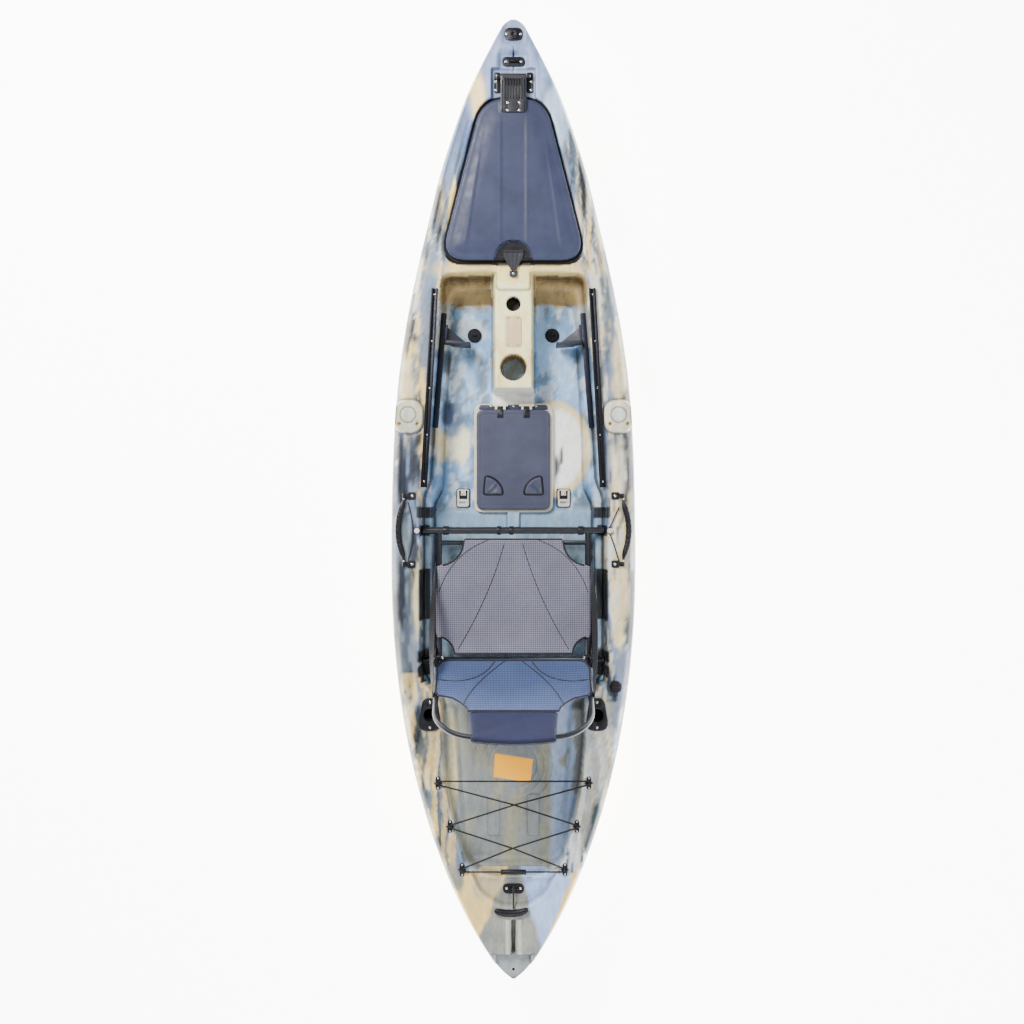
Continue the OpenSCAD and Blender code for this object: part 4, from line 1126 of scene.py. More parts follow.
def lathe(name, profile, at, material, body, steps=40):
    """A turned shape about a vertical axis, from (radius, height) pairs."""
    points, faces, n = [], [], len(profile)
    for k in range(steps):
        a = 2 * math.pi * k / steps
        points += [(at[0] + r * math.cos(a), at[1] + r * math.sin(a), at[2] + z) for r, z in profile]
    for k in range(steps):
        for i in range(n - 1):
            a, b = k * n + i, (k + 1) % steps * n + i
            faces.append((a, b, b + 1, a + 1))
    return mesh_object(name, points, faces, material, body)


# ---------- making pieces ----------
def from_node(name, body, material, slot, width=1.0, segments=2, as_name=None):
    """A copy of a CAD node's mesh with welded facets and rounded edges, standing for the node."""
    bm = bmesh.new()
    bm.from_mesh(frame["nodes"][name].data)
    bmesh.ops.remove_doubles(bm, verts=bm.verts, dist=0.00002)
    bmesh.ops.dissolve_limit(bm, angle_limit=math.radians(0.6), verts=bm.verts, edges=bm.edges)
    if width:
        edges = [e for e in bm.edges if len(e.link_faces) == 2 and e.calc_face_angle(0) > math.radians(35)]
        try:
            bmesh.ops.bevel(bm, geom=edges, offset=width * MM, offset_type="OFFSET", segments=segments, profile=0.5,
                            affect="EDGES", clamp_overlap=True)
        except RuntimeError:
            print("no bevel on", name)
    bmesh.ops.triangulate(bm, faces=[f for f in bm.faces if len(f.verts) > 8])
    as_name = as_name or name
    mesh = mesh_from(bm, as_name)
    mesh.materials.clear()
    mesh.materials.append(material)
    mesh.shade_smooth()
    mesh.set_sharp_from_angle(angle=math.radians(38))
    return stands_for(add_object(as_name, mesh, body), slot, name)


def tube(name, points, r, material, body, sides=12, caps=True, flat=1.0):
    """A round (or flattened) tube swept along points in millimetres; r is one radius or a list."""
    p = [np.array(q, float) for q in points]
    turns = np.linspace(0, 2 * math.pi, sides, False)
    up, rings = np.array([0, 0, 1.0]), []
    for i, q in enumerate(p):
        v = unit(p[min(i + 1, len(p) - 1)] - p[max(i - 1, 0)])
        a = np.cross(v, up)
        a = unit(a) if np.linalg.norm(a) > 1e-3 else np.array([1.0, 0, 0])
        b = np.cross(a, v)
        rr = r[i] if hasattr(r, "__len__") else r
        rings.append([q + rr * (a * math.cos(t) + flat * b * math.sin(t)) for t in turns])
    pts = [q for ring_ in rings for q in ring_]
    faces = grid_faces(len(p), sides, True)
    if caps:
        faces += [tuple(range(sides))[::-1], tuple(len(pts) - sides + i for i in range(sides))]
    return mesh_object(name, pts, faces, material, body)


def join(name, pieces):
    """Several pieces of one material made into one."""
    bm = bmesh.new()
    for piece in pieces:
        bm.from_mesh(piece.data)
    mesh = mesh_from(bm, name)
    for m in pieces[0].data.materials:
        mesh.materials.append(m)
    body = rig.body_of(pieces[0])[0]
    for piece in pieces:
        bpy.data.objects.remove(piece)
    return add_object(name, mesh, body)


def plan_mesh(name, outline, height, material, body, cell=4.0, skirt=None, transform=None):
    """A moulded plate: a grid trimmed to an outline, lifted by height(x, y, distance from the edge)."""
    low, high = outline.min(0), outline.max(0)
    nx, ny = int((high[0] - low[0]) / cell) + 1, int((high[1] - low[1]) / cell) + 1
    bm = bmesh.new()
    bm.faces.new([bm.verts.new((x, y, 0)) for x, y in outline])
    for axis, count, a, b in ((0, nx, low[0], high[0]), (1, ny, low[1], high[1])):
        for k in range(1, count):
            at = a + (b - a) * k / count
            across = Vector((1, 0, 0) if axis == 0 else (0, 1, 0))
            everything = bm.verts[:] + bm.edges[:] + bm.faces[:]
            bmesh.ops.bisect_plane(bm, geom=everything, plane_co=across * at, plane_no=across)
    xy = np.array([v.co[:2] for v in bm.verts])
    d = distance(xy[:, 0], xy[:, 1], outline, 400)
    z = height(xy[:, 0], xy[:, 1], np.maximum(-d, 0))
    for v, zz in zip(bm.verts, z):
        v.co.z = zz
    if skirt is not None:
        edges = [e for e in bm.edges if e.is_boundary]
        made = bmesh.ops.extrude_edge_only(bm, edges=edges)
        for v in made["geom"]:
            if isinstance(v, bmesh.types.BMVert):
                v.co.z = skirt
    bmesh.ops.recalc_face_normals(bm, faces=bm.faces[:])
    if sum(f.normal.z for f in bm.faces) < 0:
        bmesh.ops.reverse_faces(bm, faces=bm.faces[:])
    mesh = mesh_from(bm, name)
    if transform is not None:
        mesh.transform(transform)
    mesh.transform(Matrix.Scale(MM, 4))
    mesh.shade_smooth()
    mesh.set_sharp_from_angle(angle=math.radians(50))
    mesh.materials.append(material)
    return add_object(name, mesh, body)


ON_HATCH = Matrix.Translation((0, hatch_y, hatch_z)) @ Matrix.Rotation(hatch_tilt, 4, "X")
ON_BACK = Matrix.Translation((0, *back_pin)) @ Matrix.Rotation(back_lean, 4, "X")


# ---------- cords ----------
def free_cord(name, route, r, body, material, far_end, with_pieces=()):
    """A taut cord of radius r along a route, standing for the CAD node of the same name."""
    path = spline([np.array(q, float) for q in route], 4)
    length = float(np.linalg.norm(np.diff(path, axis=0), axis=1).sum())
    piece = stands_for(tube(name, path, r, material, body, 14), "cord", name)
    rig.cord(piece, exit=tuple(path[0] * MM), length=length * MM, diameter=2 * r * MM, far_end=far_end,
            stiffness="medium", lay="taut", path=[tuple(q * MM) for q in path], with_pieces=with_pieces)


def make_cords(cord_skin):
    right = [(366, -20, 297), (365, -25, 301.5), (361, -32, 302.8), (352, -52, 304), (340, -78, 306), (332, -92, 306.7),
             (328.4, -101, 306.7), (332, -110, 306.7), (340, -126, 306), (352, -160, 304), (361, -190, 302.8),
             (365, -201, 301.5), (366, -206, 297)]
    heights = [297, 301.5, *[302.6] * 9, 301.5, 297]
    left = [(-366 + 17 * math.sin(math.pi * i / 12), -2 - 17 * i, z) for i, z in enumerate(heights)]
    for name, route in (("paddle_cord_right", right), ("paddle_cord_left", left)):
        free_cord(name, route, 2.2, "hull", cord_skin, "object")


def make_bungee(cord_skin):
    """One cord laced across the tank well and round six deck loops, with both ends in the connector."""
    r = 3.0
    up = 3.4 + r

    def turn(i, s, start):
        x, y, z = loops[i]
        return [(s * (x - 9 + 7 * math.cos(math.radians(a))), y + start * 7 * math.sin(math.radians(a)), z + up)
                for a in (80, 40, 0, -40, -80)]

    def hump(i, j, rise):
        return (0, (loops[i][1] + loops[j][1]) / 2, (loops[i][2] + loops[j][2]) / 2 + up + rise)

    tail = (38, loops[2][1] - 6.9, loops[2][2] + up)
    route = [tail, *turn(2, 1, -1), hump(1, 2, 4.5), *turn(1, -1, -1), hump(0, 1, 4.5), *turn(0, 1, -1),
             *turn(0, -1, 1), hump(0, 1, -4.5), *turn(1, 1, 1), hump(1, 2, -4.5), *turn(2, -1, 1),
             (-tail[0], tail[1], tail[2])]
    stands_for(tube("tank_bungee", route, r, cord_skin, "hull", 14), "cord", "tank_bungee")


def make_toggle(cord_skin, black):
    """Crescent handle on a short cord, looped through the stern padeye."""
    at = np.array((-7, -1414, 351.0))
    curve = [(-58, 8, 0), (-44, 2.5, 0), (-24, -1.5, 0), (0, -2.5, 0), (24, -1, 0), (42, 4.5, 0), (57, 13, 0)]
    path = spline([at + np.array(q, float) for q in curve], 5)
    s = np.linspace(-1, 1, len(path))
    radius = 4.2 + 8.2 * np.sqrt(np.maximum(0, 1 - np.abs(s) ** 3.2))
    grip = tube("stern_toggle", path, radius, black, "stern_toggle", 18, flat=0.8)
    stands_for(grip, "black_plastic", "stern_toggle")
    turns = np.linspace(0, 2 * math.pi, 25)
    ring_path = [stern_eye + Vector((0, 7.6 * math.cos(t), 7.6 * math.sin(t))) for t in turns]
    eye = tube("toggle_cord_loop", ring_path, 3.0, cord_skin, "stern_toggle", 14, caps=False)
    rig.slot(eye, "cord")
    rise = ((-9, 2), (-20, 6), (-31, 16), (-40, 30), (-48, 40), (-57.4, 43.2))
    route = [stern_eye + Vector((0, y, z)) for y, z in rise]
    free_cord("toggle_cord", route, 3.0, "stern_toggle", cord_skin, "fitting", [grip, eye])


# ---------- screws ----------
def islands(name):
    """The separate solids of a CAD node, as arrays of points in millimetres."""
    bm = bmesh.new()
    bm.from_mesh(frame["nodes"][name].data)
    bmesh.ops.remove_doubles(bm, verts=bm.verts, dist=0.00002)
    left, found = set(bm.verts), []
    while left:
        stack, group = [left.pop()], []
        while stack:
            v = stack.pop()
            group.append(v.co[:])
            for e in v.link_edges:
                w = e.other_vert(v)
                if w in left:
                    left.remove(w)
                    stack.append(w)
        found.append(np.array(group) / MM)
    bm.free()
    return sorted(found, key=lambda p: tuple(p.mean(0).round(1)))


def screw_heads(name, node_name, body, steel):
    """A pan head with a cross recess on each of the node's screws, and its shank below."""
    points, faces = [], []
    for solid in islands(node_name):
        middle = solid.mean(0)
        _, _, axes = np.linalg.svd(solid - middle)
        axis = axes[0] * np.sign(axes[0][2])
        along = (solid - middle) @ axis
        top = middle + axis * along.max()
        off = solid - middle - np.outer((solid - middle) @ axis, axis)
        top += off[along > along.max() - 0.5].mean(0)
        r = np.linalg.norm((solid - top) - np.outer((solid - top) @ axis, axis), axis=1).max()
        shank = along.max() - along.min()
        side = unit(np.cross(axis, (0.3, 1, 0)))
        spin = 1.7 * math.sin(top[0] * 3.1 + top[1])
        other = np.cross(axis, side)
        cosine, sine = math.cos(spin), math.sin(spin)
        side, other = side * cosine + other * sine, other * cosine - side * sine
        steps, start = 32, len(points)
        # share of the head's radius, and drop below its top
        rows = [(0.0, 0), (0.14, 0), (0.3, 0), (0.5, 0), (0.56, 0), (0.78, 0), (0.93, 0), (1.0, -1.1),
                (1.0, -2.3), (0.5, -2.4), (0.48, -shank)]
        for k in range(steps):
            t = 2 * math.pi * k / steps
            for share, drop in rows:
                u, w = share * r * math.cos(t), share * r * math.sin(t)
                z = -0.9 * share**2 * (drop == 0) + drop
                if share <= 0.5 and min(abs(u), abs(w)) < 0.55 and drop == 0:
                    z -= 1.3
                points.append(top + side * u + other * w + axis * z)
        n = len(rows)
        for k in range(steps):
            for i in range(n - 1):
                a, b = start + k * n + i, start + (k + 1) % steps * n + i
                faces.append((a, b, b + 1, a + 1) if i else (a, b + 1, a + 1))
    return stands_for(mesh_object(name, points, faces, steel, body), "stainless", node_name)


# ---------- hatches ----------
def add_solidify(piece, thickness):
    """Gives a single sheet of faces its wall thickness, inwards."""
    modifier = piece.modifiers.new("wall", "SOLIDIFY")
    modifier.thickness, modifier.offset = thickness * MM, -1
    modifier.use_quality_normals = True


def make_bow_lid(slate, rubber, strap_rubber, black, steel):
    """Slate lid with faint fanning creases and a half-round recess for the latch strap."""

    def height(x, y, d):
        z = 14 + 6 * round_edge(d, 14) + 5 * ease((d - 12) / 62)
        s = np.clip((y - 20) / (hatch_len - 20), 0, 1)
        for inner, at in ((1, np.full(x.shape, 44.0)), (0, 168 - 78 * s)):
            gap = np.abs(x) - at
            z += (1.5 if inner else 1.8) * ease(0.5 + gap / 7) * ease((d - 18) / 30) * (1 - ease((y - 400) / 130))
            z += bell(gap, 3.2) * ease((d - 18) / 30) * (1 - ease((y - 420) / 110))
        z += (10.9 - z) * ease(0.5 - (np.hypot(x, y - 2) - 66) / 5)
        z = np.where((np.abs(x) < 46) & (y > 501), z + (24.9 - z) * ease(0.5 + (y - 505) / 6), z)
        return z

    lid = plan_mesh("bow_lid", soft(lid_line, lid_blend, 12), height, slate, "bow_lid", 5.0, skirt=3.3,
                    transform=ON_HATCH)
    add_solidify(lid, 4.2)
    stands_for(lid, "slate_plastic", "bow_lid")
    # seal seen in the gap round the lid; the black sheet below is part seal, part painted shade in the gap
    from_node("bow_gasket", "hull", rubber, "rubber", 0.8)
    trough = plan_mesh("bow_hatch_trough", lid_plan(8.5, 12), lambda x, y, d: 0.8 - 0.3 * ease(d / 4), rubber,
                       "hull", 14.0, transform=ON_HATCH)
    cut_plan(trough, lid_plan(-3, 12), ON_HATCH)
    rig.slot(trough, "rubber")
    # rolled edge of the lid, deeper across its rear, made black as painted shade on the slate lid's edge
    edge = lid_plan(-4.2, 12)
    loop = [ON_HATCH @ Vector((x, y, 11.5)) for x, y in np.vstack([edge, edge[:2]])]
    roll = tube("bow_lid_edge", loop, 4.6, black, "bow_lid", 12, caps=False)
    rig.slot(roll, "black_plastic")
    # dark half-round pocket under the strap
    arc = [(67 * math.cos(t), 1.5 + 67 * math.sin(t)) for t in np.linspace(0, math.pi, 40)]
    pocket = plan_mesh("latch_pocket", np.array(arc), lambda x, y, d: 11.5 + 1.2 * ease((3.5 - d) / 3), black,
                       "bow_lid", 9.0, transform=ON_HATCH)
    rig.slot(pocket, "black_plastic")
    # strap: a fan of rubber with radial grooves and a thumb lip
    fan = soft([(11, 0), (34, 42), (37, 66), (-37, 66), (-34, 42), (-11, 0)], [1, 8, 5, 5, 8, 1], 5)

    def fan_height(x, y, d):
        angle = np.arctan2(x, y + 34)
        groove = 0.5 + 0.5 * np.cos(angle / 0.105 * math.pi)
        z = 3.3 - 1.4 * (1 - np.clip(d / 2.4, 0, 1)) ** 2
        z -= 1.1 * ease((groove - 0.62) / 0.25) * ease((d - 2) / 2) * (y < 56)
        return z + 5.4 * ease(0.5 - (np.abs(y - 61) - 2.6) / 2.0) * ease(d / 2.5)

    at_strap = ON_HATCH @ Matrix.Translation((0, -30, 14.6))
    strap = plan_mesh("latch_strap", fan, fan_height, strap_rubber, "latch_strap", 1.5, skirt=-3.3,
                      transform=at_strap)
    line = [at_strap @ Vector((x, 0, 0)) for x in (-11, -10, 10, 11)]
    barrel = tube("latch_strap_roll", line, [2.4, 3.4, 3.4, 2.4], strap_rubber, "latch_strap", 16)
    stands_for(strap, "rubber", "latch_strap")
    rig.slot(barrel, "rubber")
    from_node("latch_tail", "hull", strap_rubber, "rubber", 0.8)
    # hinge
    from_node("bow_hinge_brackets", "hull", black, "black_plastic", 0.7)
    from_node("bow_hinge_pin", "hull", steel, "stainless", 0.5)
    from_node("bow_hinge_leaf", "bow_lid", black, "black_plastic", 0.8)
    ribs = []
    for i in range(-3, 4):
        path = [ON_HATCH @ Vector((i * 9.6, y, z)) for y, z in ((546, 29.6), (552, 30.2), (606, 30.2), (616, 29.4))]
        ribs.append(tube(f"rib_{i}", path, 1.6, black, "bow_lid", 8))
    for s in (-1, 1):
        path = [ON_HATCH @ Vector((s * 38, y, 30)) for y in (506, 540, 612)]
        ribs.append(tube(f"rail_{s}", path, 1.3, black, "bow_lid", 8))
    ribs.append(plan_mesh("web", soft(box(29, 13.5, 0, 602), 1), lambda x, y, d: 27 + 0 * x, black, "bow_lid", 6.0,
                          skirt=24.4, transform=ON_HATCH))
    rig.slot(join("bow_hinge_ribs", ribs), "black_plastic")
    screw_heads("bow_lid_screws", "bow_lid_screws", "bow_lid", steel)


def cut_plan(piece, outline, transform):
    """Removes the faces of a flat piece that lie inside an outline."""
    bm = bmesh.new()
    bm.from_mesh(piece.data)
    back = transform.inverted()
    local = [back @ (f.calc_center_median() / MM) for f in bm.faces]
    c = np.array([q[:2] for q in local])
    inside = distance(c[:, 0], c[:, 1], outline, 60) < 0
    bmesh.ops.delete(bm, geom=[f for f, gone in zip(bm.faces, inside) if gone], context="FACES")
    bm.to_mesh(piece.data)
    bm.free()


def make_centre_hatch(slate, cream, rubber, black, steel):
    from_node("centre_hatch_frame", "hull", cream, "hull_plastic", 2.2, 3, "centre_hatch_frame_rim")
    from_node("centre_hatch_gasket", "hull", rubber, "rubber", 0.6)
    from_node("centre_hinge_pin", "hull", steel, "stainless", 0.3)
    from_node("centre_lid_knuckles", "centre_lid", black, "black_plastic", 0.6)
    outline = soft(box(131, 177.8, 0, 149.8), 26, 8)

    def height(x, y, d):
        z = 161.6 + 3.3 * round_edge(d, 5)
        z -= 1.1 * ease(0.5 - (np.abs(d - 13) - 2.2) / 2)
        for a, b in ((54, 21), (38, 11)):
            z += 0.9 * bell(np.hypot((x - 4) / a, (y - 104) / b) - 1, 0.09)
        return z

    lid = plan_mesh("centre_lid", outline, height, slate, "centre_lid", 5.0, skirt=153.2)
    add_solidify(lid, 3.6)
    stands_for(lid, "slate_plastic", "centre_lid")
    strip = plan_mesh("centre_hinge_strip", soft(box(123, 9, 0, 338), [3, 12, 12, 3], 6),
                      lambda x, y, d: 151.4 + 1.4 * round_edge(d, 2), slate, "hull", 4.0, skirt=149.8)
    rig.slot(strip, "slate_plastic")
    head = [(0.1, 155.1), (2.2, 154.9), (3.9, 154.1), (4.5, 152.9), (4.5, 152.5)]
    heads = [lathe(f"head_{x}", head, (x, 341.5, 0), steel, "hull", 24) for x in (-81, 0, 81)]
    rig.slot(join("centre_hinge_screws", heads), "stainless")
    for name, s in (("right", 1), ("left", -1)):
        line = latch_line(s)
        stands_for(latch_cover(name, s, inset(line, 3.2), slate), "slate_plastic", "centre_latch_" + name)
        path = [(x, y, 165.2) for x, y in np.vstack([line, line[:2]])]
        gap = tube("centre_latch_gap_" + name, path, 3.0, black, "centre_lid", 10, caps=False)
        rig.slot(gap, "black_plastic")


def inset(line, t):
    """A closed, rounded, anticlockwise outline moved inward by t."""
    p = np.array(line)
    forward = np.roll(p, -1, axis=0) - np.roll(p, 1, axis=0)
    forward /= np.linalg.norm(forward, axis=1)[:, None]
    return p + t * np.stack([-forward[:, 1], forward[:, 0]], 1)


def latch_line(s):
    """Outline of the quarter-round finger latch on side s."""
    line = soft([(107, 26), (101, 92), (84, 92), (54, 74), (38, 46), (38, 26)], [10, 9, 14, 18, 14, 7], 6)
    return line if s > 0 else np.array([(-x, y) for x, y in line])[::-1]


def latch_cover(name, s, line, slate):
    """Quarter-round latch, dished for the fingers below a raised bar."""

    def height(x, y, d):
        z = 169.0 + 2.2 * round_edge(d, 4)
        u = (s * x - 96) * -0.7071 + (y - 30) * 0.7071
        v = (s * x - 96) * 0.7071 + (y - 30) * 0.7071
        dish = np.hypot((u - 28) / 26, v / 22)
        z -= 2.6 * ease((1 - dish) / 0.5)
        return z + 5.2 * ease(0.5 - (np.abs(v) - 3.2) / 2.4) * ease(0.5 - (np.abs(u - 28) - 20) / 4)

    name = "centre_latch_" + name
    return plan_mesh(name, np.array(line), height, slate, name, 3.0, skirt=165.5)


# ---------- other fittings ----------
def make_handles(black):
    """Curved grips with finger ribs, hinged on eyes at both ends, for the side decks."""
    curve = [(381, 5.5, 306), (384, -8, 305.6), (390, -28, 305), (397, -55, 304.6), (401, -98, 304.5),
             (397, -141, 304.6), (390, -168, 305), (384, -188, 305.6), (381, -202, 306)]
    for name, s in (("right", 1), ("left", -1)):
        path = spline([np.array((s * x, y, z), float) for x, y, z in curve], 12)
        t = np.linspace(-1, 1, len(path))
        r = 4.6 + 6.0 * ease((0.97 - np.abs(t)) / 0.45)
        r = r + 0.55 * np.sin(t * 60) * ease((0.52 - np.abs(t)) / 0.06)
        grip = tube("handle_grip_" + name, path, r, black, "handle_" + name, 20, flat=0.92)
        stands_for(grip, "black_plastic", "handle_" + name)


def make_anchor_trim(rubber):
    """Dark rubber round each strap anchor's base, part gasket and part painted shade, round the slot its strap goes
    through, and a black sheet in the slot's mouth as painted shade.
    """
    box_low, box_high = [Vector(c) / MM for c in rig.box("strap_anchors")]
    w, mid_x = 22.0, (box_high.x - 22.0)
    mid_y, l = (box_low.y + box_high.y) / 2, (box_high.y - box_low.y) / 2
    pieces = []
    for s in (-1, 1):
        x = s * mid_x
        around = soft(box(w + 1.4, l + 1.4, x, mid_y), 8, 6)
        around = [(*q, box_low.z + 1.2) for q in np.vstack([around, around[:2]])]
        slot = [(x - 12, mid_y + l - 4), (x - 12, mid_y - 1), (x + 12, mid_y - 1), (x + 12, mid_y + l - 4)]
        slot = [(*q, box_high.z - 0.6) for q in slot]
        # loop round the anchor's base: gasket and painted shade at the foot of the plate
        pieces.append(tube(f"seat_{s}", around, 1.9, rubber, "hull", 8, caps=False))
        pieces.append(tube(f"slot_{s}", slot, 3.6, rubber, "hull", 8))
        # black sheet in the slot's mouth: painted shade in the opening
        pieces.append(plan_mesh(f"mouth_{s}", soft(box(13, 6.5, x, mid_y + 3), 3),
                                lambda x, y, d: box_high.z + 0.8 + 0 * x, rubber, "hull", 4.0, skirt=box_high.z - 1.5))
    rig.slot(join("strap_anchor_trim", pieces), "rubber")


# ---------- seat ----------
def drape(piece, held, pull):
    """Lets a cloth piece settle on its held edge under a steady pull, and keeps the result."""
    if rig.quick():
        return
    frames, stiffness = 24, 18.0
    group = piece.vertex_groups.new(name="held")
    group.add([int(i) for i in held], 1.0, "REPLACE")
    modifier = piece.modifiers.new("cloth", "CLOTH")
    cloth = modifier.settings
    cloth.vertex_group_mass = "held"
    cloth.quality = 6
    cloth.mass = 0.4
    cloth.tension_stiffness = cloth.compression_stiffness = stiffness
    cloth.shear_stiffness = stiffness / 2
    cloth.bending_stiffness = 1.5
    cloth.air_damping = 4
    cloth.effector_weights.gravity = pull
    modifier.collision_settings.use_collision = False
    scene = bpy.context.scene
    modifier.point_cache.frame_start, modifier.point_cache.frame_end = 1, frames
    for f in range(1, frames + 1):
        scene.frame_set(f)
    settled = bpy.data.meshes.new_from_object(piece.evaluated_get(bpy.context.evaluated_depsgraph_get()))
    piece.modifiers.remove(modifier)
    piece.vertex_groups.clear()
    old = piece.data
    piece.data = settled
    settled.name = old.name
    bpy.data.meshes.remove(old)
    scene.frame_set(1)


def surface_line(piece, points, transform, r, material, body, name, lift=0.6, side=1):
    """A seam or piping laid on a piece's upper or lower side, from a line in its plan."""
    tree = BVHTree.FromObject(piece, bpy.context.evaluated_depsgraph_get())
    up = (transform.to_3x3() @ Vector((0, 0, side))).normalized()
    path = []
    for x, y in points:
        start = (transform @ Vector((x, y, 90 * side))) * MM
        hit = tree.ray_cast(start, -up)[0]
        if hit is not None:
            path.append(np.array((hit + up * lift * MM) / MM))
    line = tube(name, path, r, material, body, 8)
    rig.slot(line, "mesh_fabric")
    return line


def bow_curve(a, b, bend):
    """A curved line in plan from a to b, bulging sideways by bend."""
    a, b = np.array(a, float), np.array(b, float)
    side = np.array([-(b - a)[1], (b - a)[0]])
    side /= np.linalg.norm(side)
    return [tuple(a + (b - a) * s + side * bend * 4 * s * (1 - s)) for s in np.linspace(0, 1, 26)]


def stretched_cloth(name, outline, height, material, body, transform, pull, held_width):
    """Mesh cloth that settles inside an edge strip of the given width, held by its frame."""
    cloth = plan_mesh(name, outline, height, material, body, 9.0, transform=transform)
    back = transform.inverted()
    co = np.array([(back @ (v.co / MM))[:2] for v in cloth.data.vertices])
    inner = -distance(co[:, 0], co[:, 1], outline, 400)
    drape(cloth, np.where(inner < held_width)[0], pull)
    add_solidify(cloth, 2.6)
    return stands_for(cloth, "mesh_fabric", name)


def wrapped(x, start):
    """Height of cloth that bends over the side tubes from x = start, against its flat middle."""
    return np.sqrt(11.0**2 - np.clip(np.abs(x) - start, 0, 10.6) ** 2) - 11


def sewn_lines(name, label, piece, transform, r, material, body, lines, side=1):
    """Both sides' stitched seams, each bowed between two points in plan, as one piece."""
    seams = [surface_line(piece, bow_curve((s * ax, ay), (s * bx, by), s * bend), transform, r, material, body,
                          f"{label}_{k}_{s}", 0.2, side)
             for s in (-1, 1) for k, ((ax, ay), (bx, by), bend) in enumerate(lines)]
    stitched = join(name, seams)
    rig.slot(stitched, "mesh_fabric")
    return stitched


def as_sheet(cloth, outline, frame_node, with_pieces):
    width, length = (outline.max(0) - outline.min(0)) * MM
    x, y = outline.T
    area = 0.5 * abs(np.dot(x, np.roll(y, -1)) - np.dot(y, np.roll(x, -1)))
    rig.sheet(cloth, flat=(width, length), held="stretched", rests_on=[frame_node], area=area * MM * MM,
             with_pieces=with_pieces)


PAN = (Matrix.Translation((0, -129, seat_front[1] + 9.4))
       @ Matrix.Rotation(math.atan((seat_front[1] - seat_rear[1]) / (seat_front[0] - seat_rear[0])), 4, "X"))


def make_seat_pan(mesh_cloth, trim, seam):
    # front corners are cut away in quarter circles, the rear ones in smaller ones
    def corner(cx, cy, r, start, end):
        turns = np.linspace(math.radians(start), math.radians(end), 9)
        return [(cx + r * math.cos(t), cy + r * math.sin(t)) for t in turns]

    right = ([(208, -410)] + corner(273, -410, 62, 178, 95) + [(274, -330), (274, -200), (273, -100)]
             + corner(262, -8, 84, 262, 184) + [(170, 0)])
    outline = np.array(both(right))

    def height(x, y, d):
        front = -7.0 * ease((y + 10) / 10)
        sag = -11 * ease(d / 150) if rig.quick() else -1.5 * ease(d / 120)
        return 3.2 + wrapped(x, 264) + front + sag

    pan = stretched_cloth("seat_mesh", outline, height, mesh_cloth, "seat_base", PAN, 1.0, 15)
    pan.data.shade_smooth()
    stitched = sewn_lines("seat_pan_seams", "seam", pan, PAN, 1.3, seam, "seat_base",
                          [((28, -2), (196, -392), -16), ((78, -2), (262, -190), 34)])
    # binding along the front, the rear and the cut corners, but not where the cloth wraps the side tubes
    bound, run = [], []
    for q in outline_inset(outline, 3.2):
        if abs(q[0]) < 260:
            run.append(tuple(q))
        elif run:
            bound.append(run)
            run = []
    bound = [run + bound[0], *bound[1:]]
    hem = join("seat_pan_hem", [surface_line(pan, line, PAN, 3.4, trim, "seat_base", f"hem_{k}", -0.6)
                                for k, line in enumerate(bound) if len(line) > 3])
    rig.slot(hem, "webbing")
    as_sheet(pan, outline, "seat_frame", [stitched, hem])


def outline_inset(outline, t):
    p = np.array(outline)
    ring_ = []
    for i in range(len(p)):
        v = unit(p[(i + 1) % len(p)] - p[i - 1])
        ring_.append(p[i] + t * np.array([-v[1], v[0]]))
    return np.array(ring_ + ring_[:1])


def make_seat_back(back_cloth, top_cloth, trim, piping, seam, tube_paint):
    from_node("back_frame", "seat_back", tube_paint, "seat_tube", 0)
    # plan of the back in its own plane: x across, y up the back, z to the rear
    upright = ON_BACK @ Matrix.Rotation(math.radians(90), 4, "X")

    outline = np.array(both([(226, 33), (254, 45), (268, 84), (266, 226), (254, 246), (232, 252), (206, 262),
                             (182, 284), (160, 312), (152, 334)]))

    def height(x, y, d):
        bow = 10 * ease(d / 110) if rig.quick() else 2 * ease(d / 110)
        return bow - 10.8 - wrapped(x, 262)

    cloth = stretched_cloth("back_fabric", outline, height, back_cloth, "seat_back", upright, 0.9, 14)
    stitched = sewn_lines("back_seams", "bseam", cloth, upright, 2.0, seam, "seat_back",
                          [((24, 36), (168, 300), -26), ((62, 36), (262, 150), 44)], -1)
    hem = surface_line(cloth, outline_inset(outline, 3.6), upright, 3.8, trim, "seat_back", "back_hem", -0.8, -1)
    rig.slot(hem, "webbing")
    as_sheet(cloth, outline, "back_frame", [stitched, hem])
    make_head_panel(top_cloth, trim, piping, upright)


